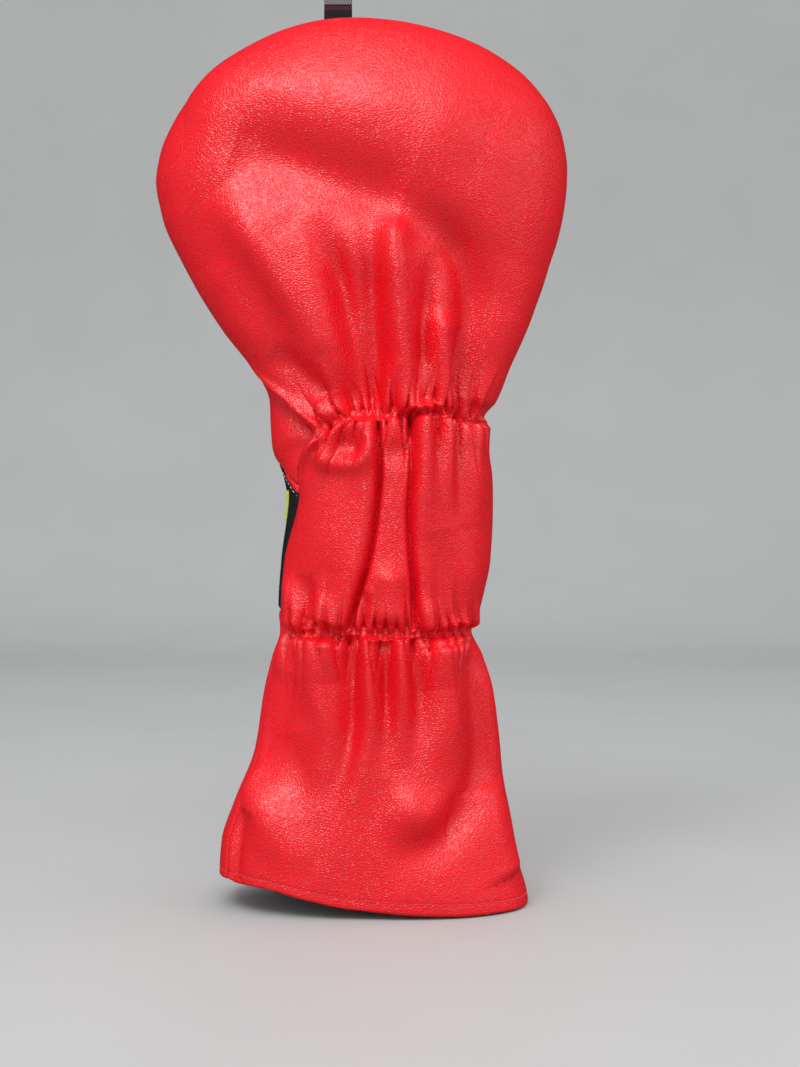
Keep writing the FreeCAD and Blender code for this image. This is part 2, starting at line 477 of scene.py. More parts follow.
POCKET_FOLDS = (
    Fold(((-66, 298), (-25, 300), (10, 294), (46, 282)), 2.6, 17),
    Fold(((-56, 282), (-28, 273), (-6, 264), (12, 257), (26, 249), (36, 238), (42, 223), (42, 206),
          (40, 179)), -6.0, 12, 0.2, 0.05),
    Fold(((20, 256), (33, 247), (41, 235), (43.4, 222), (42.5, 206), (40, 184)), -4.1, 6.5, 0.3, 0.2),
    Fold(((-46, 280), (-10, 267), (16, 258)), -2.4, 16),
    Fold(((-52, 264), (-36, 243), (-27, 230), (-19, 217), (-12, 203), (-6, 189)), 5.6, 8, 0.3, 0.25),
    Fold(((-32, 206), (-21, 197), (-12, 187)), -2.9, 4.5, 0.4, 0.2),
    Fold(((-15, 254), (-10, 238), (-6.4, 223), (-3.4, 205), (-0.2, 188), (0.8, 180)), -6.3, 6.0, 0.35, 0.1),
    Fold(((4.4, 250), (5.0, 230), (5.8, 212), (6.6, 196), (7.4, 180)), -5.1, 4.8, 0.35, 0.1),
    Fold(((12.6, 246), (12.8, 234), (14.0, 218), (16.4, 202), (19, 182)), 5.9, 6.0, 0, 0.1),
    Fold(((-26, 250), (-16, 233), (-10.5, 216), (-6.5, 201), (-4, 188)), 3.4, 5.2, 0.4, 0.2),
    Fold(((26.5, 240), (24.8, 222), (22.8, 208), (23.4, 186)), -5.1, 4.0, 0.35, 0.1),
    Fold(((30.6, 213), (31.4, 203), (33, 181)), 4.6, 5.0, 0, 0.1),
    Fold(((38, 214), (37.8, 200), (37.0, 180)), -3.2, 3.0, 0.4, 0.1),
    Fold(((60, 238), (52, 208), (46.5, 180)), 3.2, 8, 0.5, 0.1),
    Fold(((-56, 238), (-38, 207), (-25, 179)), 2.2, 8, 0.5, 0.1),
    Fold(((-14, 203), (-9, 190), (-7, 180)), 2.2, 2.4, 0.5, 0.1),
    Fold(((14, 203), (10, 192), (9, 182)), 2.0, 2.2, 0.5, 0.1),
    Fold(((24, 202), (25, 179)), 1.8, 2.4, 0.5, 0.1),
    Fold(((-19, 194), (-14, 186), (-12, 178)), 1.7, 2.4, 0.5, 0.1),
)

NECK_FOLDS = (
    Fold(((6.8, 180), (7.0, 160), (5.4, 143), (3.0, 129), (0.2, 119), (-4.5, 103)),
         -3.6, 2.6, 0.03, 0.03, CREASE),
    Fold(((-4.5, 103), (0.2, 119), (3.0, 129), (5.4, 143), (7.0, 160), (6.8, 180)), 4.0, 8, 0.03, 0.03, ROLL),
    Fold(((18.2, 182), (18.9, 161), (18.1, 148), (18.8, 132), (19.9, 118), (19.4, 103)),
         -3.4, 2.6, 0.03, 0.03, CREASE),
    Fold(((18.4, 182), (19.1, 161), (18.3, 148), (19.0, 132), (20.1, 118), (19.6, 103)),
         3.8, 8, 0.03, 0.03, ROLL),
    Fold(((22.2, 184), (22.4, 160), (22.8, 136)), 2.0, 3.4, 0.02, 0.5),
    Fold(((27.0, 184), (27.2, 172), (28.0, 154)), -2.2, 2.6, 0.02, 0.7),
    Fold(((31.4, 184), (31.8, 170), (32.8, 146)), 2.4, 3.0, 0.02, 0.7),
    Fold(((35.0, 184), (35.6, 170), (37.4, 142)), -2.6, 3.4, 0.02, 0.7),
    Fold(((39.5, 184), (42.5, 160), (43.0, 140)), 1.8, 5, 0.02, 0.5),
    Fold(((-17, 168), (-8, 164.2), (-1.6, 163.8), (3.4, 167.0), (5.2, 174)), 2.4, 3.4),
    Fold(((-10, 172.5), (-3, 170.5), (2.5, 173.5)), -2.6, 4.0),
    Fold(((7, 170), (12.5, 168.5), (18, 170)), -2.2, 5.0),
    Fold(((-20, 164), (-14, 145), (-13, 124)), 1.8, 10, 0.4, 0.4),
    Fold(((27, 140), (30, 122), (33, 106)), -2.4, 6, 0.5, 0.2),
    Fold(((10.6, 121.5), (10.0, 106)), 3.4, 5.0, 0, 0.05),
    Fold(((2.6, 118), (2.0, 104)), -2.0, 2.2, 0.4, 0.05),
    Fold(((-28, 124), (-23.8, 111), (-22.2, 102)), 2.6, 3.0, 0.5, 0.03),
    Fold(((-20, 124), (-17.5, 104)), -2.4, 3.2, 0.5, 0.03),
    Fold(((-12, 118), (-12.5, 104)), 1.8, 4.0, 0.5, 0.03),
    Fold(((38, 140), (40, 122), (38, 104)), 1.8, 6, 0.5, 0.05),
    Fold(((26, 116), (25, 104)), 1.6, 3.0, 0.5, 0.03),
)

SKIRT_FOLDS = (
    Fold(((-11, 101), (-10.5, 84)), 3.8, 5.5, 0.02, 0.8),
    Fold(((28.5, 101), (29, 82)), 3.8, 6.5, 0.02, 0.8),
    Fold(((-17, 101), (-15.4, 81), (-11, 65), (-7, 50)), 3.2, 5.5, 0.02, 0.75),
    Fold(((-3, 102), (-2.3, 81), (-3.8, 65), (-6.5, 53), (-11, 42), (-15, 26)), -4.9, 4.8, 0.02, 0.65),
    Fold(((3.4, 102), (3.4, 74), (0.6, 54), (-4, 36)), 4.3, 4.4, 0.02, 0.75),
    Fold(((9.0, 100), (10, 73), (9.2, 50)), -3.8, 3.4, 0.02, 0.75),
    Fold(((14, 101), (15.6, 81), (15.2, 54)), 4.1, 4.2, 0.02, 0.75),
    Fold(((19.4, 101), (22, 77), (20, 52)), -4.1, 4.4, 0.02, 0.75),
    Fold(((31, 97), (32.5, 74), (29, 57), (24, 40)), 3.5, 7, 0.1, 0.6),
    Fold(((40, 100), (44.5, 78), (46, 60), (43, 44), (35, 34), (26, 26), (10, 18)), -4.9, 6.5, 0.15, 0.3),
    Fold(((8, 42), (20, 38), (34, 35)), 5.1, 9, 0.45, 0.45),
    Fold(((46, 46), (51, 30), (56, 12)), 3.0, 7),
    Fold(((-45, 52), (-35, 36), (-28, 28), (-16, 20)), 4.1, 8, 0.2, 0.6),
    Fold(((-26, 88), (-33, 60), (-37, 44)), -2.7, 6, 0.45, 0.45),
    Fold(((-44, 38), (-48, 22), (-49, 8)), -3.2, 5),
    Fold(((-26, 66), (-22, 50), (-16, 38)), -2.4, 7, 0.45, 0.45),
)

FRONT_FOLDS = (
    Fold(((-12, 172), (-13, 188), (-18, 206)), 1.2, 6),
    Fold(((4, 176), (4, 190), (3, 204)), -1.2, 5),
    Fold(((20, 172), (22, 188), (28, 206)), 1.2, 6),
    Fold(((34, 178), (37, 192), (42, 204)), -1.0, 5),
    Fold(((-22, 88), (-19, 104), (-17, 118)), -1.0, 5),
    Fold(((-4, 84), (-3, 100), (-2, 114)), 1.0, 5),
    Fold(((14, 88), (13, 102), (13, 116)), -1.0, 5),
    Fold(((28, 84), (26, 100), (25, 114)), 1.0, 5),
    Fold(((-30, 60), (-8, 50), (16, 52), (40, 60)), 0.8, 12),
)


# ---------------------------------------------------------------- gathers


@dataclass(frozen=True)
class Pleat:
    """One tight pleat at a gather row: where it meets the row, its size and its lean, in millimetres."""

    x: float
    width: float
    height: float
    length: float
    lean: float = 0.0


@dataclass(frozen=True)
class GatherRow:
    """A shirred row across the back, whose pleats end on the row from above and from below."""

    name: str
    line: tuple[tuple[float, float], ...]
    above: tuple[Pleat, ...]
    below: tuple[Pleat, ...]
    tuck: float = 2.2
    tuck_width: float = 2.4
    fullness: float = 1.45
    widening_run: float = 14.0
    tip_reach: float = 2.3
    tip_length: float = 3.6

    def height(self, x: Points) -> Points:
        """Height of the row at positions across the back."""
        return smooth_curve(x, [p[0] for p in self.line], [p[1] for p in self.line])

    def relief(self, x: Points, z: Points, facing: Points) -> Points:
        """Height of the pleats and the tuck between them over positions on the back."""
        off = z - self.height(x)
        pleats = np.zeros_like(x)
        for side, row in ((1.0, self.above), (-1.0, self.below)):
            for pleat in row:
                pleats = np.maximum(pleats, self.pleat_relief(pleat, x, off * side, facing))
        return pleats - self.tuck * bell(off, self.tuck_width)

    def pleat_relief(self, pleat: Pleat, x: Points, out: Points, facing: Points) -> Points:
        """Shapes one pleat, a round finger whose tip lies on the row.

        Args:
            pleat: The pleat.
            x: Positions across the cover.
            out: Distances from the row, on the pleat's side of it.
            facing: How squarely the leather faces the back, up to 1.

        Returns:
            Distances out from the leather without the pleat.
        """
        run = np.maximum(out, 0)
        centre = pleat.x + pleat.lean * run
        spread = pleat.width * (1 + run / self.widening_run) * np.clip(facing, 0.35, 1)
        across = np.sqrt(np.clip(1 - ((x - centre) / spread) ** 2, 0, 1))
        tip = np.sqrt(np.clip((out + self.tip_reach) / self.tip_length, 0, 1))
        fade = bell(run, self.fullness * pleat.length)
        return self.fullness * pleat.height * across * tip * fade


def pleats(*sizes: tuple[float, ...]) -> tuple[Pleat, ...]:
    """Makes a row of pleats from each one's place, width, height, length and lean."""
    return tuple(Pleat(*size) for size in sizes)


UPPER_ROW = GatherRow(
    "upper",
    ((-20, 174.2), (-16.7, 175.2), (-12.5, 176.8), (-8.4, 179.4), (-3.6, 181.0), (1.2, 182.4), (7, 181.2),
     (12.4, 182.6), (20.3, 182.8), (31, 182.8), (34, 183.2), (38, 180.4), (42.3, 180.8), (47, 184.0)),
    above=pleats(
        (-14.6, 1.7, 1.8, 7, -0.5), (-8.6, 2.0, 2.2, 11, -0.55), (-4.4, 1.5, 1.8, 6, -0.4),
        (-0.6, 1.3, 1.7, 6, -0.2), (2.6, 1.4, 2.1, 9, -0.25), (6.4, 1.3, 1.6, 5),
        (10.0, 1.5, 2.2, 9, -0.15), (14.4, 1.4, 1.8, 6, 0.1), (17.2, 1.2, 1.6, 5, 0.3),
        (20.0, 1.5, 2.3, 9, 0.32), (24.4, 1.4, 1.9, 7, 0.1), (28.0, 1.4, 2.0, 8, 0.2),
        (31.8, 1.3, 1.8, 6, 0.1), (35.6, 1.6, 2.1, 9, 0.1), (39.8, 1.5, 1.9, 7, 0.25),
        (44.0, 1.6, 2.0, 8, 0.4),
    ),
    below=pleats(
        (-16.6, 1.6, 1.8, 6, -0.2), (-12.2, 1.5, 2.1, 7, -0.1), (-6.4, 2.0, 2.2, 12, -0.5),
        (-2.4, 1.4, 1.7, 6, -0.2), (0.6, 1.3, 1.6, 5), (4.2, 2.0, 2.3, 13, -0.05),
        (8.2, 1.2, 1.8, 6), (12.3, 2.1, 2.4, 12), (16.4, 1.2, 1.5, 5, 0.1),
        (22.2, 2.6, 2.4, 14), (26.2, 1.2, 1.8, 7), (30.0, 1.8, 2.2, 11, 0.05),
        (33.8, 1.2, 1.9, 7), (37.6, 1.5, 2.1, 9, 0.1), (41.8, 1.5, 1.9, 7, 0.15),
        (45.6, 1.5, 1.8, 7, 0.2),
    ),
)

LOWER_ROW = GatherRow(
    "lower",
    ((-29, 102.4), (-22, 102.0), (-14, 103.2), (-7, 101.6), (0, 103.0), (8, 102.4), (16, 102.8), (22, 101.6),
     (30, 103.0), (36, 102.6), (42, 102.2)),
    above=pleats(
        (-26.0, 1.7, 1.9, 8, -0.1), (-22.2, 1.3, 1.7, 6), (-18.6, 1.5, 1.9, 7, 0.1),
        (-13.0, 1.6, 2.1, 9, -0.1), (-8.6, 1.3, 1.6, 5), (-4.6, 1.5, 1.9, 7, 0.15),
        (-0.6, 1.4, 2.0, 8, 0.1), (3.4, 1.5, 2.1, 9), (7.4, 1.3, 1.7, 6), (11.4, 1.5, 1.9, 7),
        (15.2, 1.4, 2.0, 8, -0.1), (19.2, 1.4, 1.8, 6), (24.2, 1.6, 2.0, 8, -0.1),
        (29.4, 1.5, 1.9, 7, 0.1), (33.4, 1.3, 2.1, 9, -0.1), (37.2, 1.4, 1.8, 6),
        (41.0, 1.4, 1.8, 7, 0.1),
    ),
    below=pleats(
        (-27.6, 1.9, 1.9, 9, -0.25), (-23.6, 1.3, 1.6, 5), (-19.8, 1.7, 2.2, 12, -0.1),
        (-15.6, 2.2, 2.4, 14, -0.05), (-10.6, 1.6, 1.9, 8), (-6.4, 1.3, 1.7, 6, 0.1),
        (-2.4, 1.5, 1.8, 8), (1.6, 1.7, 2.4, 15), (5.6, 1.3, 1.7, 6), (9.4, 1.5, 2.0, 9),
        (13.4, 1.9, 2.4, 14, 0.05), (17.4, 1.3, 1.7, 6), (21.6, 1.8, 2.1, 9, 0.1),
        (27.0, 2.2, 2.3, 13, 0.1), (31.6, 1.5, 2.0, 9, 0.05), (35.4, 1.5, 2.1, 10, 0.1),
        (39.2, 1.6, 1.9, 8, 0.2),
    ),
)


# ---------------------------------------------------------------- relief of each panel


HEM_STITCH = 4.5
NECK_PANEL_FOOT = LEVELS.lower_row + 10.0
SEAM_DEPTH = 0.9
SEAM_WIDTH = 0.8
POLE_CALM = 6.0


def add_folds(folds: tuple[Fold, ...], x: Points, z: Points) -> Points:
    """Adds up folds over positions on one side of the cover."""
    total = np.zeros_like(x)
    for fold in folds:
        total += fold.relief(x, z)
    return total


def uneven(x: Points, z: Points, size: float, seed: int) -> Points:
    """Gives the slow unevenness of slack leather.

    Args:
        x: Positions across the cover.
        z: Heights.
        size: Distance between its hills and hollows.
        seed: Which unevenness, the same on every run.

    Returns:
        Values from -1 to 1.
    """
    side = 64
    lattice = np.random.default_rng(seed).uniform(-1, 1, (side, side))
    column, row = x / size + side / 2, z / size + side / 8
    i, j = np.floor(column).astype(int), np.floor(row).astype(int)
    u, v = smooth_step(column - i, 0, 1), smooth_step(row - j, 0, 1)
    low = lattice[i % side, j % side] * (1 - u) + lattice[(i + 1) % side, j % side] * u
    high = lattice[i % side, (j + 1) % side] * (1 - u) + lattice[(i + 1) % side, (j + 1) % side] * u
    return low * (1 - v) + high * v


def seam_relief(panel: Panel, across: Points, scale: Points) -> Points:
    """Turns the leather in at the side seams, and swells the back over the front where the pocket is slack.

    Args:
        panel: The side of the cover.
        across: Shares of the panel's width.
        scale: Positions on the height scale.

    Returns:
        Distances out from the smooth surface, in millimetres.
    """
    left, right = seam_distance(panel, across, scale)
    nearest = np.minimum(left, right)
    deep = 0.5 + 1.2 * smooth_step(scale, 70, 130)
    turned_in = -deep * bell(nearest, SEAM_WIDTH) - 0.4 * bell(nearest, 3.0)
    slack = smooth_step(scale, 160, 172) * (1 - smooth_step(scale, 190, 206))
    if panel is Panel.BACK:
        tucked = 3.7 * slack * bell(left, 0.9)
        return turned_in - tucked + 2.4 * slack * bell(left - 4.0, 3.2)
    return turned_in - 3.2 * slack * bell(left, 10.0)


def hem_pucker(scale: Points) -> Points:
    """How far the row of stitches draws the leather in above the hem."""
    return -0.15 * bell(scale - HEM_STITCH, 0.7)


def away_from_seams(panel: Panel, across: Points, scale: Points) -> Points:
    """0 at the side seams, where the panels are sewn together and lie level, and 1 away from them."""
    return smooth_step(np.minimum(*seam_distance(panel, across, scale)), 0.0, 7.0)


def back_relief(across: Points, scale: Points) -> Points:
    """Relief of the gathered back leather.

    Args:
        across: Shares of the panel's width.
        scale: Positions on the height scale.

    Returns:
        Distances out from the smooth surface, in millimetres.
    """
    turn = Panel.BACK.turns(across, scale)
    place, out = SHAPE.place(turn, scale), SHAPE.normal(turn, scale)
    x, z, facing = place[..., 0], place[..., 2], -out[..., 1]
    seen = smooth_step(facing, 0.0, 0.45)
    folds = add_folds(POCKET_FOLDS + NECK_FOLDS + SKIRT_FOLDS, x, z) * seen
    gathers = UPPER_ROW.relief(x, z, facing) + LOWER_ROW.relief(x, z, facing)
    edge = smooth_step(facing, -0.25, 0.1)
    slow = 0.35 * uneven(x, z, 17.0, 3) + 0.12 * uneven(x, z, 7.5, 9)
    calm = 1 - 0.7 * smooth_step(scale, LEVELS.widest, TOP)
    free = away_from_seams(Panel.BACK, across, scale)
    sewn = hem_pucker(scale) + seam_relief(Panel.BACK, across, scale)
    return (folds + gathers * edge + slow * calm) * free + sewn


def front_relief(across: Points, scale: Points) -> Points:
    """Relief of the front panels, which have no elastic of their own.

    Args:
        across: Shares of the panel's width.
        scale: Positions on the height scale.

    Returns:
        Distances out from the smooth surface, in millimetres.
    """
    turn = Panel.FRONT.turns(across, scale)
    place, out = SHAPE.place(turn, scale), SHAPE.normal(turn, scale)
    x, z, facing = place[..., 0], place[..., 2], out[..., 1]
    folds = add_folds(FRONT_FOLDS, x, z) * smooth_step(facing, 0.0, 0.5)
    slow = 0.4 * uneven(x, z, 18.0, 5)
    arch = -SEAM_DEPTH * bell(scale - arch_height(turn), SEAM_WIDTH)
    straight = -SEAM_DEPTH * bell(scale - NECK_PANEL_FOOT, SEAM_WIDTH)
    free = away_from_seams(Panel.FRONT, across, scale)
    sewn = hem_pucker(scale) + seam_relief(Panel.FRONT, across, scale)
    return (folds + slow) * free + arch + straight + sewn


RELIEF = {Panel.BACK: back_relief, Panel.FRONT: front_relief}


def hollow(turn: Points, scale: Points) -> Points:
    """Finds how far the leather is pressed in, for what lies behind it to keep clear.

    Args:
        turn: Angles about the vertical, in radians.
        scale: Positions on the height scale.

    Returns:
        Depths of its hollows, in millimetres, 0 where it stands out.
    """
    left, right = SEAMS.left(scale), SEAMS.right(scale)
    full = 2 * math.pi
    past = (turn - left) % full
    back = past < right - left
    back_share = np.clip(past / (right - left), 0, 1)
    front_share = np.clip(((turn - right) % full) / (full - (right - left)), 0, 1)
    relief = np.where(back, back_relief(back_share, scale), front_relief(front_share, scale))
    return np.maximum(-relief, 0)


def behind_leather(turn: Points, scale: Points, inset: Points) -> Points:
    """Points that lie inside the leather's outer face and keep clear of its hollows.

    Args:
        turn: Angles about the vertical, in radians.
        scale: Positions on the height scale.
        inset: Distances inside the smooth surface where the leather isn't pressed in.

    Returns:
        One row of x, y and z for each pair, in millimetres.
    """
    return SHAPE.place(turn, scale) - SHAPE.normal(turn, scale) * (inset + hollow(turn, scale))[..., None]


def panel_points(panel: Panel, across: Points, scale: Points, inset: float = 0.0) -> Points:
    """Points on a panel with its relief.

    Args:
        panel: The side of the cover.
        across: Shares of the panel's width.
        scale: Positions on the height scale.
        inset: Distance inside the leather's outer face.

    Returns:
        One row of x, y and z for each position, in millimetres.
    """
    turn = panel.turns(across, scale)
    depth = (RELIEF[panel](across, scale) - inset)[..., None]
    still = smooth_step(TOP - scale, 0.0, POLE_CALM)[..., None]
    return SHAPE.place(turn, scale) + SHAPE.normal(turn, scale) * depth * still


# ---------------------------------------------------------------- meshes


Sheet = Callable[[Points, Points], Points]
MERGE_GAP = 1e-7


def new_object(name: str, bm: bmesh.types.BMesh) -> bpy.types.Object:
    """Turns a bmesh into a smooth-shaded object in the scene, and frees the bmesh.

    Args:
        name: The piece's name.
        bm: The finished bmesh.

    Returns:
        The new object.
    """
    mesh = bpy.data.meshes.new(name)
    bm.to_mesh(mesh)
    bm.free()
    mesh.shade_smooth()
    obj = bpy.data.objects.new(name, mesh)
    bpy.context.collection.objects.link(obj)
    return obj


def grid_shares(verts: list[bmesh.types.BMVert]) -> tuple[Points, Points]:
    """Where the points of a fresh grid lie, as shares of its width and of its length."""
    return np.array([(v.co.x + 1) / 2 for v in verts]), np.array([(v.co.y + 1) / 2 for v in verts])


@dataclass(frozen=True)
class Patch:
    """A grid laid over a surface that is given by a function of two shares."""

    name: str
    columns: int
    rows: tuple[float, ...]
    surface: Sheet

    def build(self) -> bpy.types.Object:
        """Makes the patch.

        Returns:
            A smooth object with exact normals, whose u and v attributes keep each point's place in the grid.
        """
        bm = bmesh.new()
        count = len(self.rows) - 1
        bmesh.ops.create_grid(bm, x_segments=self.columns, y_segments=count, size=1.0)
        u_layer = bm.verts.layers.float.new("u")
        v_layer = bm.verts.layers.float.new("v")
        across, climb = grid_shares(bm.verts)
        up = np.asarray(self.rows)[np.rint(climb * count).astype(int)]
        places = self.surface(across, up) * MM
        for vert, u, v, place in zip(bm.verts, across, up, places, strict=True):
            vert[u_layer], vert[v_layer] = u, v
            vert.co = place
        bmesh.ops.remove_doubles(bm, verts=bm.verts, dist=MERGE_GAP)
        obj = new_object(self.name, bm)
        self.set_normals(obj)
        return obj

    def set_normals(self, obj: bpy.types.Object) -> None:
        """Gives each point the surface's own normal, so that patches that meet shade as one."""
        count = len(obj.data.vertices)
        u, v = np.zeros(count, np.float32), np.zeros(count, np.float32)
        obj.data.attributes["u"].data.foreach_get("value", u)
        obj.data.attributes["v"].data.foreach_get("value", v)
        u, v = u.astype(float), v.astype(float)
        du, dv = 0.25 / self.columns, 0.15
        low, high = np.clip(u - du, 0, 1), np.clip(u + du, 0, 1)
        below, above = v - dv, np.minimum(v + dv, TOP)
        out = np.cross(
            self.surface(high, v) - self.surface(low, v),
            self.surface(u, above) - self.surface(u, below),
        )
        obj.data.normals_split_custom_set_from_vertices(unit(out).tolist())


def runs(*stops: tuple[float, float]) -> tuple[float, ...]:
    """Positions along the height scale, closer together where the shape is finer.

    Args:
        stops: Pairs of a position and the step to use up to the next one.

    Returns:
        Rising positions from the first stop to the last.
    """
    heights = []
    for (low, step), (high, _) in zip(stops[:-1], stops[1:], strict=True):
        heights.extend(np.linspace(low, high, max(round((high - low) / step), 1), endpoint=False))
    return (*heights, stops[-1][0])


# ---------------------------------------------------------------- materials


class Graph:
    """Adds nodes to a tree, setting and linking their inputs in the same call."""

    def __init__(self, tree: bpy.types.NodeTree) -> None:
        """Takes the tree to fill."""
        self.tree = tree

    def add(self, kind: str, values: dict | None = None, **settings: object) -> bpy.types.Node:
        """Adds one node.

        Args:
            kind: The node's type.
            values: Values or sockets for its inputs, by name or number.
            settings: The node's own settings.

        Returns:
            The new node.
        """
        node = self.tree.nodes.new(kind)
        for name, value in settings.items():
            setattr(node, name, value)
        for name, value in (values or {}).items():
            if isinstance(value, bpy.types.NodeSocket):
                self.tree.links.new(value, node.inputs[name])
            else:
                node.inputs[name].default_value = value
        return node

    def math(self, operation: str, *values: object) -> bpy.types.NodeSocket:
        """Adds a maths node and returns its result."""
        return self.add("ShaderNodeMath", dict(enumerate(values)), operation=operation).outputs[0]

    def ramp(self, value: object, low: float, high: float, start: float, end: float) -> bpy.types.NodeSocket:
        """Maps a value smoothly from one range to another and returns the result."""
        values = {"Value": value, "From Min": low, "From Max": high, "To Min": start, "To Max": end}
        return self.add("ShaderNodeMapRange", values, interpolation_type="SMOOTHSTEP").outputs["Result"]

    def mix(self, share: object, first: object, second: object) -> bpy.types.NodeSocket:
        """Mixes two colours, each given as a socket or by its red, green and blue, and returns the result."""
        first, second = (c if isinstance(c, bpy.types.NodeSocket) else (*c, 1) for c in (first, second))
        return self.add("ShaderNodeMix", {0: share, 6: first, 7: second}, data_type="RGBA").outputs[2]

    def noise(self, where: bpy.types.NodeSocket, scale: float, detail: float) -> bpy.types.Node:
        """Adds a noise texture."""
        return self.add("ShaderNodeTexNoise", {"Vector": where, "Scale": scale, "Detail": detail})

    def shift(self, operation: str, vector: object, other: object) -> bpy.types.NodeSocket:
        """Adds a vector maths node of two vectors and returns its vector."""
        return self.add("ShaderNodeVectorMath", {0: vector, 1: other}, operation=operation).outputs[0]

    def cover(self, colour: object, height: object, strength: float, depth: float) -> None:
        """Gives the material its colour and its bumps.

        Args:
            colour: The socket with the colour.
            height: The socket with the height of the bumps, from about 0 to 1.
            strength: How much of the bumps shows.
            depth: Their depth, in millimetres.
        """
        surface = self.tree.nodes["Principled BSDF"]
        values = {"Height": height, "Strength": strength, "Distance": depth * MM}
        bump = self.add("ShaderNodeBump", values).outputs["Normal"]
        self.tree.links.new(colour, surface.inputs["Base Color"])
        self.tree.links.new(bump, surface.inputs["Normal"])


def new_group(
    name: str, inputs: dict[str, float], outputs: dict[str, str]
) -> tuple[bpy.types.NodeTree, Graph]:
    """Starts a node group.

    Args:
        name: The group's name.
        inputs: Its float inputs with their defaults.
        outputs: Its outputs with their socket types.

    Returns:
        The group and a graph to fill it with.
    """
    group = bpy.data.node_groups.new(name, "ShaderNodeTree")
    group.interface.new_socket("Vector", in_out="INPUT", socket_type="NodeSocketVector")
    for label, default in inputs.items():
        socket = group.interface.new_socket(label, in_out="INPUT", socket_type="NodeSocketFloat")
        socket.default_value = default
    for label, kind in outputs.items():
        group.interface.new_socket(label, in_out="OUTPUT", socket_type=kind)
    return group, Graph(group)


def pebble_group() -> bpy.types.NodeTree:
    """Pebbled leather grain: round pebbles of uneven size, parted by creases, with fine pores."""
    outputs = {"Height": "NodeSocketFloat", "Crease": "NodeSocketFloat"}
    group, g = new_group("pebble_grain", {"Size": 0.9}, outputs)
    given = g.add("NodeGroupInput").outputs
    done = g.add("NodeGroupOutput")
    per_metre = g.math("DIVIDE", 1000.0, given["Size"])
    bend = g.noise(given["Vector"], 320.0, 2.0).outputs["Color"]
    offset = g.shift("SUBTRACT", bend, (0.5, 0.5, 0.5))
    drift = g.add("ShaderNodeVectorMath", {0: offset, "Scale": 1.1 * MM}, operation="SCALE").outputs[0]
    moved = g.shift("ADD", given["Vector"], drift)
    cell = {"Vector": g.shift("MULTIPLY", moved, (0.8, 0.9, 1.15)), "Scale": per_metre}
    edge = g.add("ShaderNodeTexVoronoi", cell, feature="DISTANCE_TO_EDGE").outputs["Distance"]
    dome = g.add("ShaderNodeTexVoronoi", {**cell, "Smoothness": 0.5}, feature="SMOOTH_F1").outputs["Distance"]
    fine_scale = g.math("MULTIPLY", per_metre, 2.3)
    fine = g.add("ShaderNodeTexVoronoi", {"Vector": moved, "Scale": fine_scale}).outputs["Distance"]
    patch = g.noise(given["Vector"], 90.0, 3.0).outputs["Fac"]
    raised = g.ramp(edge, 0.0, 0.3, 0.0, 1.0)
    rounded = g.math("MULTIPLY", raised, g.ramp(dome, 0.1, 0.9, 1.0, 0.72))
    small = g.math("MULTIPLY", g.ramp(fine, 0.1, 0.8, 1.0, 0.0), 0.16)
    both = g.math("ADD", rounded, small)
    height = g.math("MULTIPLY", both, g.ramp(patch, 0.3, 0.7, 0.7, 1.0))
    # Mask of the creases between the pebbles, where the leathers are given painted shade.
    crease = g.ramp(edge, 0.0, 0.16, 1.0, 0.0)
    g.tree.links.new(height, done.inputs["Height"])
    g.tree.links.new(crease, done.inputs["Crease"])
    return group


@dataclass(frozen=True)
class LeatherFinish:
    """How a coated, pebbled leather looks, with painted shade in the creases between its pebbles."""

    name: str
    # deep is the colour of the painted shade in the creases between the pebbles.
    deep: Colour
    body: Colour
    bright: Colour
    grain_size: float = 1.0
    grain_depth: float = 0.13
    roughness: float = 0.24
    gloss: float = 0.8

    def build(self, grain: bpy.types.NodeTree) -> bpy.types.Material:
        """Makes the material.

        Args:
            grain: The shared grain group.

        Returns:
            The material.
        """
        material, g, where = new_material(self.name, {"Specular IOR Level": self.gloss})
        pebbles = g.add("ShaderNodeGroup", node_tree=grain)
        g.tree.links.new(where, pebbles.inputs["Vector"])
        pebbles.inputs["Size"].default_value = self.grain_size
        height = pebbles.outputs["Height"]
        cloudy = g.noise(where, 26.0, 4.0).outputs["Fac"]
        mottled = g.mix(g.ramp(cloudy, 0.3, 0.7, 0.0, 1.0), self.body, self.bright)
        # Painted shade: the creases between the pebbles are mixed towards the deep colour.
        crease_shade = g.math("MULTIPLY", pebbles.outputs["Crease"], 0.55)
        g.cover(g.mix(crease_shade, mottled, self.deep), height, 1.0, self.grain_depth)
        rough = g.ramp(height, 0.0, 1.2, self.roughness + 0.12, self.roughness - 0.02)
        g.tree.links.new(rough, g.tree.nodes["Principled BSDF"].inputs["Roughness"])
        return material


def new_material(
    name: str, values: dict[str, float]
) -> tuple[bpy.types.Material, Graph, bpy.types.NodeSocket]:
    """Starts a material.

    Args:
        name: The material's name.
        values: What is the same all over the surface, by the shader's own names.

    Returns:
        The material, its graph and the socket that gives the place on the object.
    """
    material = bpy.data.materials.new(name)
    material.use_nodes = True
    surface = material.node_tree.nodes["Principled BSDF"]
    for label, value in values.items():
        surface.inputs[label].default_value = value
    g = Graph(material.node_tree)
    return material, g, g.add("ShaderNodeTexCoord").outputs["Object"]


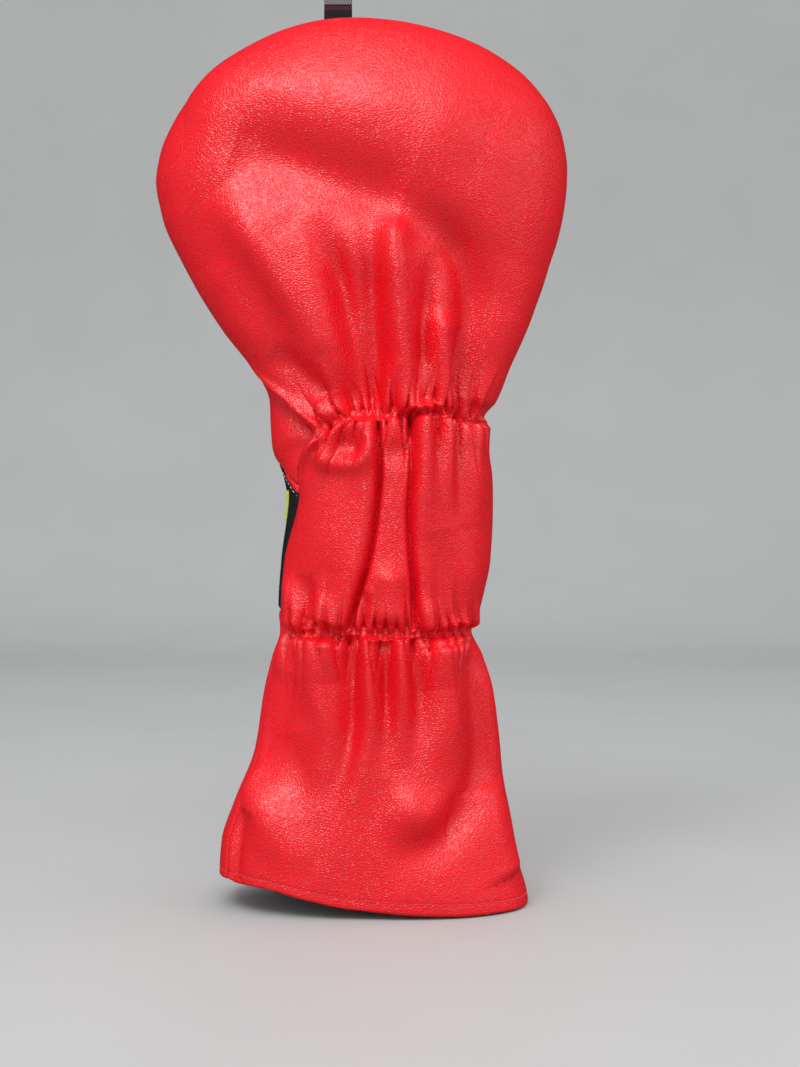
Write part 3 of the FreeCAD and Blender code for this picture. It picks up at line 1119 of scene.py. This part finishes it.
@dataclass(frozen=True)
class PlushFinish:
    """How a short pile or felted wadding looks."""

    name: str
    dark: Colour
    light: Colour
    tuft: float = 0.7
    sheen: float = 0.5

    def build(self) -> bpy.types.Material:
        """Makes the material."""
        values = {"Roughness": 0.95, "Sheen Weight": self.sheen, "Sheen Roughness": 0.5}
        material, g, where = new_material(self.name, values)
        tufts = g.noise(where, 1000 / self.tuft, 3.0).outputs["Fac"]
        clumps = g.noise(where, 180.0, 3.0).outputs["Fac"]
        height = g.math("ADD", g.math("MULTIPLY", tufts, 0.6), clumps)
        # Painted shade: the low places of the pile are mixed towards the dark colour.
        g.cover(g.mix(g.ramp(height, 0.55, 1.05, 0.0, 1.0), self.dark, self.light), height, 0.9, 0.8)
        return material


@dataclass(frozen=True)
class ThreadFinish:
    """How sewing thread, embroidery or knitted elastic looks: fine slanting fibres over a colour."""

    name: str
    dark: Colour
    light: Colour
    fibre: float = 0.18
    slant: tuple[float, float, float] = (0.35, 0.2, 1.0)
    roughness: float = 0.5

    def build(self) -> bpy.types.Material:
        """Makes the material."""
        material, g, where = new_material(self.name, {"Roughness": self.roughness, "Sheen Weight": 0.3})
        along = {0: where, 1: self.slant}
        slant = g.add("ShaderNodeVectorMath", along, operation="DOT_PRODUCT").outputs["Value"]
        wobble = g.noise(where, 900.0, 2.0).outputs["Fac"]
        turns = g.math("MULTIPLY", slant, 2 * math.pi / (self.fibre * MM))
        wave = g.math("SINE", g.math("ADD", turns, g.math("MULTIPLY", wobble, 5.0)))
        height = g.math("MULTIPLY_ADD", wave, 0.5, 0.5)
        # Painted shade and highlight: the grooves between the fibres are mixed towards the dark colour and
        # the fibre tops towards the light one.
        g.cover(g.mix(g.ramp(height, 0.0, 1.0, 0.0, 1.0), self.dark, self.light), height, 0.8, 0.06)
        return material


@dataclass(frozen=True)
class TapeFinish:
    """How the woven tab looks: a fine rib weave, painted lighter on its raised threads as a highlight, with a
    maroon band and a band of silver strokes above it.
    """

    name: str
    base_z: float
    black: Colour = (0.006, 0.005, 0.006)
    # The lighter black of the painted highlight on the weave's raised threads.
    weave_highlight: Colour = (0.02, 0.018, 0.02)
    maroon: Colour = (0.06, 0.006, 0.014)
    silver: Colour = (0.34, 0.34, 0.36)
    thread_pitch: float = 0.5
    row_pitch: float = 0.42
    stroke_pitch: float = 1.5

    def build(self) -> bpy.types.Material:
        """Makes the material."""
        material, g, where = new_material(self.name, {"Roughness": 0.75, "Specular IOR Level": 0.3})
        axes = g.add("ShaderNodeSeparateXYZ", {"Vector": where}).outputs
        across = self.ripple(g, axes["X"], self.thread_pitch)
        up = self.ripple(g, axes["Z"], self.row_pitch)
        weave = g.math("MULTIPLY_ADD", g.math("MULTIPLY", across, up), 0.5, 0.5)
        above = g.math("SUBTRACT", axes["Z"], self.base_z * MM)
        band = self.between(g, above, 3.4, 4.9)
        strokes_band = self.between(g, above, 5.6, 9.2)
        slant = g.math("ADD", g.math("MULTIPLY", axes["X"], 1.6), axes["Z"])
        stroke = self.ripple(g, slant, self.stroke_pitch)
        strokes = g.math("MULTIPLY", strokes_band, g.ramp(stroke, 0.1, 0.4, 0.0, 1.0))
        # Painted highlight: the raised threads of the weave are mixed halfway towards a lighter black.
        plain = g.mix(g.math("MULTIPLY", weave, 0.5), self.black, self.weave_highlight)
        banded = g.mix(band, plain, self.maroon)
        g.cover(g.mix(strokes, banded, self.silver), weave, 0.9, 0.12)
        return material

    @staticmethod
    def ripple(g: Graph, value: bpy.types.NodeSocket, pitch: float) -> bpy.types.NodeSocket:
        """A wave along a position, with a pitch in millimetres."""
        return g.math("SINE", g.math("MULTIPLY", value, 2 * math.pi / (pitch * MM)))

    @staticmethod
    def between(g: Graph, value: bpy.types.NodeSocket, low: float, high: float) -> bpy.types.NodeSocket:
        """1 where a height lies between two others in millimetres, and 0 elsewhere."""
        over = g.math("GREATER_THAN", value, low * MM)
        under = g.math("LESS_THAN", value, high * MM)
        return g.math("MULTIPLY", over, under)


@dataclass
class Wardrobe:
    """Every material of the cover, made once."""

    red: bpy.types.Material = field(init=False)
    black: bpy.types.Material = field(init=False)
    plush: bpy.types.Material = field(init=False)
    padding: bpy.types.Material = field(init=False)
    elastic: bpy.types.Material = field(init=False)
    tan_thread: bpy.types.Material = field(init=False)
    red_thread: bpy.types.Material = field(init=False)
    white_thread: bpy.types.Material = field(init=False)
    embroidery: bpy.types.Material = field(init=False)
    tape: bpy.types.Material = field(init=False)

    def __post_init__(self) -> None:
        """Makes the materials."""
        grain = pebble_group()
        # Each leather's first colour is the painted shade for the creases of its grain.
        self.red = LeatherFinish(
            "red_leather", (0.5, 0.0, 0.003), (0.8, 0.0005, 0.008), (0.88, 0.0010, 0.011)
        ).build(grain)
        self.black = LeatherFinish(
            "black_leather", (0.004, 0.004, 0.005), (0.012, 0.012, 0.014), (0.018, 0.018, 0.02),
            grain_size=0.9, grain_depth=0.16, roughness=0.5, gloss=0.4,
        ).build(grain)
        self.plush = PlushFinish("plush_lining", (0.10, 0.10, 0.11), (0.30, 0.31, 0.33)).build()
        self.padding = PlushFinish("wadding", (0.52, 0.5, 0.46), (0.74, 0.73, 0.7), 0.4, 0.2).build()
        self.elastic = ThreadFinish(
            "knitted_elastic", (0.5, 0.5, 0.48), (0.82, 0.82, 0.8), fibre=0.8, slant=(0, 0, 1)
        ).build()
        # The shirring thread's pale tan colour is a painted highlight on the thread at the pleat tips.
        self.tan_thread = ThreadFinish("tan_thread", (0.3, 0.1, 0.03), (0.6, 0.28, 0.1)).build()
        self.red_thread = ThreadFinish("red_thread", (0.45, 0.0, 0.008), (0.8, 0.03, 0.045)).build()
        self.white_thread = ThreadFinish("white_thread", (0.5, 0.3, 0.3), (0.8, 0.62, 0.62)).build()
        self.embroidery = ThreadFinish(
            "embroidery", (0.34, 0.42, 0.01), (0.72, 0.82, 0.05),
            fibre=0.32, slant=(0.25, 0.0, 1.0), roughness=0.38,
        ).build()
        self.tape = TapeFinish("woven_tape", LEVELS.crown).build()


# ---------------------------------------------------------------- leather panels


@dataclass(frozen=True)
class Flex:
    """A gather row, with the bodies below and above it and the stretch of leather about it."""

    lower_body: str
    upper_body: str
    low: float
    high: float

    def bend(self, obj: bpy.types.Object) -> None:
        """Bakes the piece's transform into its mesh."""
        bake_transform(obj)


CUT_EDGE = -SHAPE.hem_radius * (math.pi - 0.6)
LOWER_FLEX = Flex("skirt", "neck", LEVELS.lower_row - 18.0, LEVELS.lower_row + 10.0)
UPPER_FLEX = Flex("neck", "pocket", LEVELS.upper_row - 13.0, LEVELS.upper_row + 15.0)
NECK_SPLIT = (LEVELS.lower_row + LEVELS.upper_row) / 2


def finish_piece(obj: bpy.types.Object, material: bpy.types.Material, slot: str, *nodes: str) -> None:
    """Gives a piece its material and hides the CAD nodes that it stands for.

    Args:
        obj: The piece.
        material: Its material.
        slot: The record's name for the material. Not used.
        nodes: The CAD nodes.
    """
    obj.data.materials.append(material)
    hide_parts(*nodes)
    log.info("%s: %d faces", obj.name, len(obj.data.polygons))


@dataclass
class LeatherShell:
    """The outer leather: the gathered back, and the front with its black panel."""

    wardrobe: Wardrobe
    columns: int = 300

    def build(self) -> None:
        """Makes every leather panel."""
        self.back_upper()
        self.back_lower()
        self.crown_front()
        self.neck_panel()
        self.lower_front()
        self.hem_facing()

    def back_upper(self) -> None:
        """The back leather from the middle of the neck over the pocket to the top of the crown."""
        row = LEVELS.upper_row
        rows = runs((NECK_SPLIT, 0.9), (row - 12, 0.42), (row + 8, 0.9), (LEVELS.widest, 0.85), (TOP, 1))
        obj = Patch("back_upper_leather", self.columns, rows, partial(panel_points, Panel.BACK)).build()
        nodes = ("crown_back_leather", "upper_gather_leather", "neck_back_leather")
        finish_piece(obj, self.wardrobe.red, "red_leather", *nodes)
        UPPER_FLEX.bend(obj)

    def back_lower(self) -> None:
        """The back leather from the middle of the neck down to the rolled hem."""
        row, hem = LEVELS.lower_row, SHAPE.hem_radius
        rows = runs((CUT_EDGE, 0.45), (hem, 0.9), (row - 8, 0.42), (row + 9, 0.9), (NECK_SPLIT, 1))
        obj = Patch("back_lower_leather", self.columns, rows, partial(panel_points, Panel.BACK)).build()
        finish_piece(obj, self.wardrobe.red, "red_leather", "skirt_back_leather", "lower_gather_leather")
        LOWER_FLEX.bend(obj)

    def crown_front(self) -> None:
        """The red front of the pocket, down to the arched seam."""
        level = LEVELS.upper_row + 10

        def surface(across: Points, scale: Points) -> Points:
            """The front's outer face, whose rows below a level close up towards the arched seam."""
            foot = arch_over(across)
            share = np.clip(scale / level, 0, 1)
            closed_up = foot + share * (level - foot)
            return panel_points(Panel.FRONT, across, np.where(share < 1, closed_up, scale))

        below = np.linspace(0, level, 40, endpoint=False)
        rows = (*below, *runs((level, 1.1), (LEVELS.widest, 1.1), (TOP, 1)))
        obj = Patch("crown_front_panel", 220, rows, surface).build()
        nodes = ("crown_front_leather", "upper_flex_leather", "throat_front_leather")
        finish_piece(obj, self.wardrobe.red, "red_leather", *nodes)
        UPPER_FLEX.bend(obj)

    def neck_panel(self) -> None:
        """The black panel on the front of the neck."""
        rows = tuple(np.linspace(0, 1, 70))

        def surface(across: Points, share: Points) -> Points:
            """The panel's outer face, from its straight foot to the arched seam."""
            scale = NECK_PANEL_FOOT + np.clip(share, 0, 1) * (arch_over(across) - NECK_PANEL_FOOT)
            return panel_points(Panel.FRONT, across, scale)

        obj = Patch("neck_black_panel", 140, rows, surface).build()
        finish_piece(obj, self.wardrobe.black, "black_leather", "neck_front_panel")
        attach(obj, "neck")

    def lower_front(self) -> None:
        """The red front of the skirt."""
        rows = runs((CUT_EDGE, 0.45), (SHAPE.hem_radius, 1.1), (NECK_PANEL_FOOT, 1))
        obj = Patch("skirt_front_panel", 160, rows, partial(panel_points, Panel.FRONT)).build()
        finish_piece(obj, self.wardrobe.red, "red_leather", "skirt_front_leather", "lower_flex_leather")
        LOWER_FLEX.bend(obj)

    def hem_facing(self) -> None:
        """The leather turned up inside the hem, all the way round."""
        rows = tuple(np.linspace(0.8, 12.0, 12))

        def surface(across: Points, scale: Points) -> Points:
            """The facing's inner face, with its normals towards the middle of the cover."""
            return SHAPE.place(-across * 2 * math.pi, scale, 2.8)

        obj = Patch("hem_facing", 200, rows, surface).build()
        finish_piece(obj, self.wardrobe.red, "red_leather", "hem_turn_up")
        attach(obj, "skirt")


# ---------------------------------------------------------------- inside the cover


@dataclass
class Inside:
    """What the leather holds: lining, padding and the elastic behind the gathers."""

    wardrobe: Wardrobe
    lining_inset: float = 5.2
    wadding_room: float = 2.6
    pad_inset: float = 3.7
    pad_half: float = 1.5
    pad_reach: float = 0.48
    pad_taper: float = 6.0
    band_inset: float = 3.9
    band_half: float = 5.0
    band_ripple: float = 0.15

    def build(self) -> None:
        """Makes every inside piece."""
        upper = runs((NECK_SPLIT, 2.0), (TOP - 0.01, 1))
        lower = runs((6.0, 2.0), (NECK_SPLIT, 1))
        upper_nodes = ("crown_lining", "upper_flex_lining", "neck_lining")
        lower_nodes = ("skirt_lining", "lower_flex_lining")
        for panel in Panel:
            half = self.lining(panel, "upper_lining", upper, UPPER_FLEX, upper_nodes)
            half = self.lining(panel, "lower_lining", lower, LOWER_FLEX, lower_nodes)
        for panel in Panel:
            self.pad(panel)
        self.elastic("upper_elastic_band", LEVELS.upper_row - 2.0, UPPER_FLEX, "upper_elastic")
        self.elastic("lower_elastic_band", LEVELS.lower_row + 2.0, LOWER_FLEX, "lower_elastic")

    def lining(
        self, panel: Panel, name: str, rows: tuple[float, ...], flex: Flex, nodes: tuple[str, ...]
    ) -> bpy.types.Object:
        """Makes half a sleeve of plush, which meets the other half at the side seams.

        Args:
            panel: The side of the cover.
            name: The sleeve's name.
            rows: Where its rows of points lie on the height scale.
            flex: The gather row across which it lies.
            nodes: The CAD nodes that the sleeve stands for.

        Returns:
            The half sleeve.
        """

        def surface(across: Points, scale: Points) -> Points:
            """The lining's face, further in where it passes behind the wadding."""
            row = LEVELS.upper_row
            inset = self.lining_inset + self.wadding_room * smooth_step(scale, row + 2, row + 26)
            return behind_leather(panel.turns(across, scale), scale, inset)

        obj = Patch(f"{name}_{panel.value}", 64, rows, surface).build()
        finish_piece(obj, self.wardrobe.plush, "plush_lining", *nodes)
        flex.bend(obj)
        return obj

    def pad(self, panel: Panel) -> None:
        """One half of the pocket's wadding: a flat tube whose two ends are drawn together."""
        low, high = LEVELS.upper_row + 12.0, TOP - 8.0

        start, end = low + self.pad_taper, high - self.pad_taper

        def surface(across: Points, scale: Points) -> Points:
            """The pad's outer face for half of a turn across it, and its inner face for the other half."""
            loop = across * 2 * math.pi
            share = 0.5 - self.pad_reach * np.cos(loop)
            edge = smooth_step(scale, low, start) * (1 - smooth_step(scale, end, high))
            half = self.pad_half * edge * np.sign(np.sin(loop)) * np.abs(np.sin(loop)) ** 0.3
            outer = panel_points(panel, share, scale)
            return outer - SHAPE.normal(panel.turns(share, scale), scale) * (self.pad_inset - half)[..., None]

        rows = runs((low, 1.5), (start, 2.5), (end, 1.5), (high, 1))
        obj = Patch(f"crown_{panel.value}_wadding", 160, rows, surface).build()
        finish_piece(obj, self.wardrobe.padding, "padding", f"crown_{panel.value}_padding")
        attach(obj, "pocket")

    def elastic(self, name: str, level: float, flex: Flex, node: str) -> None:
        """A flat knitted band behind the back leather."""
        rows = tuple(np.linspace(level - self.band_half, level + self.band_half, 11))

        def surface(across: Points, scale: Points) -> Points:
            """The band's face, rippled where the stitches draw it up."""
            turn = Panel.BACK.turns(0.04 + 0.92 * across, np.full_like(scale, level))
            ripple = self.band_ripple * np.sin(across * 2 * math.pi * 26)
            return behind_leather(turn, scale, self.band_inset + ripple)

        obj = Patch(name, 160, rows, surface).build()
        finish_piece(obj, self.wardrobe.elastic, "elastic", node)
        flex.bend(obj)


# ---------------------------------------------------------------- stitches and embroidery


Mark = tuple[float, float, float, float]


@dataclass(frozen=True)
class StitchStyle:
    """One thread stitch in millimetres: its size, and how far its middle stands out from the leather."""

    length: float
    radius: float
    stand: float


def stitch_mesh(name: str, panel: Panel, marks: list[Mark], style: StitchStyle) -> bpy.types.Object:
    """Lays thread stitches on a panel.

    Args:
        name: The piece's name.
        panel: The side of the cover.
        marks: For each stitch, the share across and the height of its two ends.
        style: The stitch's size.

    Returns:
        One object that holds every stitch.
    """
    ends = np.array(marks, float)
    starts = panel_points(panel, ends[:, 0], ends[:, 1], -style.stand)
    stops = panel_points(panel, ends[:, 2], ends[:, 3], -style.stand)
    bm = bmesh.new()
    for start, stop in zip(starts, stops, strict=True):
        way = Vector(stop - start)
        middle = Vector((start + stop) / 2) * MM
        made = bmesh.ops.create_uvsphere(bm, u_segments=8, v_segments=8, radius=1.0)["verts"]
        size = Vector((style.radius, style.radius, style.length / 2)) * MM
        bmesh.ops.scale(bm, vec=size, verts=made)
        bmesh.ops.rotate(bm, matrix=way.to_track_quat("Z", "Y").to_matrix(), verts=made)
        bmesh.ops.translate(bm, vec=middle, verts=made)
    return new_object(name, bm)


def even_marks(panel: Panel, height_at: Callable[[Points], Points], pitch: float) -> list[Mark]:
    """Spaces stitches evenly along a line across a panel.

    Args:
        panel: The side of the cover.
        height_at: Gives the line's height on the scale at shares of the panel's width.
        pitch: Distance from one stitch to the next, in millimetres.

    Returns:
        The marks of the stitches.
    """
    fine = np.linspace(0.0, 1.0, 800)
    line = SHAPE.place(panel.turns(fine, height_at(fine)), height_at(fine))
    walk = np.concatenate([[0], np.cumsum(np.linalg.norm(np.diff(line, axis=0), axis=1))])
    count = int(walk[-1] / pitch)
    shares = np.interp(np.linspace(pitch / 2, walk[-1] - pitch / 2, count), walk, fine)
    half = 0.35 * (shares[1] - shares[0])
    low, high = shares - half, shares + half
    return list(zip(low, height_at(low), high, height_at(high), strict=True))


@dataclass
class Stitching:
    """Topstitching, shirring stitches and the embroidery on the black panel."""

    wardrobe: Wardrobe
    arch_style: StitchStyle = StitchStyle(1.5, 0.16, 0.04)
    arch_pitch: float = 2.3
    hem_style: StitchStyle = StitchStyle(2.1, 0.26, 0.02)
    hem_pitch: float = 2.9
    shirring_style: StitchStyle = StitchStyle(1.3, 0.16, 0.05)

    def build(self) -> None:
        """Makes every row of stitches."""
        self.arch_row("red", 1.9, self.wardrobe.red_thread)
        self.arch_row("white", -1.3, self.wardrobe.white_thread)
        self.hem_rows()
        self.shirring(UPPER_ROW, UPPER_FLEX, "upper_gather_thread")
        self.shirring(LOWER_ROW, LOWER_FLEX, "lower_gather_thread")
        self.embroidery()

    def arch_row(self, colour: str, above: float, thread: bpy.types.Material) -> None:
        """Makes a row of stitches beside the arched seam.

        Args:
            colour: The thread's colour, as its pieces are named.
            above: How far the row lies above the seam.
            thread: The thread's material.
        """
        marks = even_marks(Panel.FRONT, lambda across: arch_over(across) + above, self.arch_pitch)
        obj = stitch_mesh(f"arch_stitches_{colour}", Panel.FRONT, marks, self.arch_style)
        finish_piece(obj, thread, f"{colour}_thread", f"throat_stitches_{colour}")
        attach(obj, "neck")

    def hem_rows(self) -> None:
        """The row round the hem, on the back and on the front."""
        for panel in Panel:
            marks = even_marks(panel, lambda across: np.full_like(across, HEM_STITCH), self.hem_pitch)
            obj = stitch_mesh(f"hem_stitches_{panel.value}", panel, marks, self.hem_style)
            finish_piece(obj, self.wardrobe.red_thread, "red_thread", "hem_stitches")
            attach(obj, "skirt")

    def shirring(self, row: GatherRow, flex: Flex, node: str) -> None:
        """Makes the shirring thread that shows at the tips of the pleats, coloured pale tan as a painted
        highlight.

        Args:
            row: The gather row.
            flex: The gather row whose stretch of leather it lies on.
            node: The CAD node that the thread stands for.
        """
        marks = []
        for pleat in row.above[::2] + row.below[1::2]:
            side = 1.0 if pleat in row.above else -1.0
            level = float(row.height(np.array([pleat.x]))[0])
            across = self.share_at(pleat.x, level)
            marks.append((across, level - side * 1.3, across, level + side * 0.2))
        obj = stitch_mesh(f"{row.name}_shirring", Panel.BACK, marks, self.shirring_style)
        finish_piece(obj, self.wardrobe.tan_thread, "tan_thread", node)
        flex.bend(obj)

    @staticmethod
    def share_at(x: float, level: float) -> float:
        """The share across the back panel that lies at a position across the cover."""
        fine = np.linspace(0.0, 0.97, 600)
        levels = np.full_like(fine, level)
        line = SHAPE.place(Panel.BACK.turns(fine, levels), levels)
        on_front = line[:, 1] > 0
        return float(fine[np.argmin(np.abs(line[:, 0] - x) + np.where(on_front, 1e3, 0))])

    def embroidery(self) -> None:
        """A row of leaning satin-stitch bars across the black panel."""
        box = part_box("neck_motif")
        low, high = box[0].z / MM, box[1].z / MM
        bm = bmesh.new()
        for start in np.linspace(0.10, 0.86, 9):
            self.bar(bm, start, low, high)
        obj = new_object("panel_embroidery", bm)
        finish_piece(obj, self.wardrobe.embroidery, "embroidery", "neck_motif")
        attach(obj, "neck")

    @staticmethod
    def bar(bm: bmesh.types.BMesh, start: float, low: float, high: float) -> None:
        """Adds one bar, domed across its width and raised off the panel.

        Args:
            bm: The bmesh that holds the bars.
            start: The share of the panel's width at which the bar starts.
            low: Height of its foot.
            high: Height of its top.
        """
        made = bmesh.ops.create_grid(bm, x_segments=16, y_segments=20, size=1.0)["verts"]
        u, v = grid_shares(made)
        width, lean = 0.055, 0.03
        across = start + width * u + lean * (v - 0.5)
        edge = np.minimum.reduce([u, 1 - u, v * 1.6, (1 - v) * 1.6])
        raised = 0.75 * np.sqrt(np.clip(edge / 0.2, 0, 1))
        level = low + v * (high - low)
        places = panel_points(Panel.FRONT, across, level)
        out = SHAPE.normal(Panel.FRONT.turns(across, level), level)
        for vert, place in zip(made, places + out * (raised - 0.05)[..., None], strict=True):
            vert.co = place * MM


# ---------------------------------------------------------------- the woven tab


@dataclass
class WovenTab:
    """The black tape tab, folded double, that stands up from the crown seam."""

    wardrobe: Wardrobe
    thickness: float = 0.8
    sewn_in: float = 5.0
    bow: float = 0.35
    bend_below: float = 3.0
    bend_above: float = 6.0

    def build(self) -> None:
        """Makes the tab and dresses its sewn-in root."""
        low, high = (Vector(c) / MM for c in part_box("woven_tab"))
        middle_y = (low.y + high.y) / 2
        gap = (high.y - low.y) / 2 - self.thickness / 2
        foot, top = low.z - self.sewn_in, high.z
        straight = top - gap - 0.35 * self.thickness - foot
        bend = math.pi * gap

        def surface(across: Points, run: Points) -> Points:
            """The middle of the tape, up one face, over the fold and down the other."""
            along = np.clip(run, 0, 1) * (2 * straight + bend)
            angle = np.clip((along - straight) / gap, 0, math.pi)
            down = np.maximum(along - straight - bend, 0)
            y = middle_y - gap * np.cos(angle)
            z = foot + np.minimum(along, straight) + gap * np.sin(angle) - down
            bow = self.bow * np.sin(np.clip((z - foot) / (top - foot), 0, 1) * math.pi)
            return np.stack([low.x + across * (high.x - low.x), y + bow, z], axis=-1)

        bm = bmesh.new()
        bmesh.ops.create_grid(bm, x_segments=16, y_segments=90, size=1.0)
        for vert, place in zip(bm.verts, surface(*grid_shares(bm.verts)), strict=True):
            vert.co = place * MM
        bmesh.ops.solidify(bm, geom=bm.faces[:], thickness=0.6 * self.thickness * MM)
        obj = new_object("woven_loop_tab", bm)
        finish_piece(obj, self.wardrobe.tape, "woven_tape", "woven_tab")
        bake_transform(obj)
        root = frame["nodes"]["tab_root"]
        root.data.materials.clear()
        root.data.materials.append(self.wardrobe.tape)


# ---------------------------------------------------------------- studio


@dataclass
class Studio:
    """Pale floor, soft lights and the camera."""

    distance: float = 0.59
    eye_height: float = 0.1388
    eye_x: float = 0.0146
    lens: float = 52.4
    wall: float = 1.2
    sweep: float = 0.6
    half_width: float = 5.0
    half_length: float = 4.0
    ambient: float = 1.15
    ambient_in_gloss: float = 0.04

    def build(self) -> None:
        """Makes the floor, lights and camera."""
        self.floor()
        self.area_light("key_light", (-0.45, -0.7, 1.05), 0.4, 4.0)
        self.area_light("sheen_light", (-0.05, -0.75, 1.15), 0.8, 6.5)
        self.area_light("side_light", (1.1, -0.45, 0.7), 0.5, 1.4)
        self.area_light("back_light", (0.1, 1.1, 0.9), 0.9, 2.0, reflected=False)
        self.soft_world()
        bpy.context.scene.view_settings.view_transform = "Standard"
        self.camera()

    def soft_world(self) -> None:
        """Even light from all round, kept out of the leather's gloss so that its folds stand out."""
        world = bpy.data.worlds.new("studio")
        world.use_nodes = True
        g = Graph(world.node_tree)
        glossy = g.add("ShaderNodeLightPath").outputs["Is Glossy Ray"]
        shine = g.ramp(glossy, 0.0, 1.0, self.ambient, self.ambient_in_gloss)
        background = world.node_tree.nodes["Background"]
        background.inputs["Color"].default_value = (0.95, 0.97, 1.0, 1)
        g.tree.links.new(shine, background.inputs["Strength"])
        world.cycles.sampling_method = "NONE"
        bpy.context.scene.world = world

    def floor(self) -> None:
        """A plain floor that sweeps up into a backdrop."""
        bm = bmesh.new()
        bmesh.ops.create_grid(bm, x_segments=1, y_segments=60, size=1.0)
        for vert in bm.verts:
            along = vert.co.y * self.half_length
            turn = min(max((along - self.wall) / self.sweep, 0), math.pi / 2)
            up = max(along - self.wall - self.sweep * math.pi / 2, 0)
            y = min(along, self.wall) + self.sweep * math.sin(turn)
            vert.co = (vert.co.x * self.half_width, y, self.sweep * (1 - math.cos(turn)) + up)
        obj = new_object("floor", bm)
        material, g, where = new_material("pale_floor", {"Roughness": 0.6})
        colour = g.mix(g.noise(where, 8.0, 2.0).outputs["Fac"], (0.42, 0.42, 0.415), (0.46, 0.46, 0.45))
        g.tree.links.new(colour, g.tree.nodes["Principled BSDF"].inputs["Base Color"])
        obj.data.materials.append(material)
        obj.visible_glossy = False

    @staticmethod
    def area_light(
        name: str, place: tuple[float, float, float], size: float, power: float, reflected: bool = True
    ) -> None:
        """Makes a square soft light that faces the middle of the cover.

        Args:
            name: The light's name.
            place: Where it stands, in metres.
            size: The length of its side, in metres.
            power: Its power, in watts.
            reflected: Whether it shows in the leather's gloss.
        """
        data = bpy.data.lights.new(name, "AREA")
        data.size = size
        data.energy = power
        light = bpy.data.objects.new(name, data)
        light.location = place
        light.rotation_euler = (Vector((0, 0, 0.17)) - Vector(place)).to_track_quat("-Z", "Y").to_euler()
        light.visible_glossy = reflected
        bpy.context.collection.objects.link(light)

    def camera(self) -> None:
        """A level camera that faces the back of the cover."""
        data = bpy.data.cameras.new("camera")
        data.lens = self.lens
        camera = bpy.data.objects.new("camera", data)
        camera.location = (self.eye_x, -self.distance, self.eye_height)
        camera.rotation_euler = (math.radians(90), 0, 0)
        bpy.context.collection.objects.link(camera)
        bpy.context.scene.camera = camera


def main() -> None:
    """Builds the cover's look over the frame and sets the studio round it."""
    logging.basicConfig(level=logging.INFO, format="%(name)s: %(message)s")
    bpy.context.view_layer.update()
    Studio().build()
    wardrobe = Wardrobe()
    LeatherShell(wardrobe).build()
    Inside(wardrobe).build()
    Stitching(wardrobe).build()
    WovenTab(wardrobe).build()


if __name__ == "__main__":
    main()
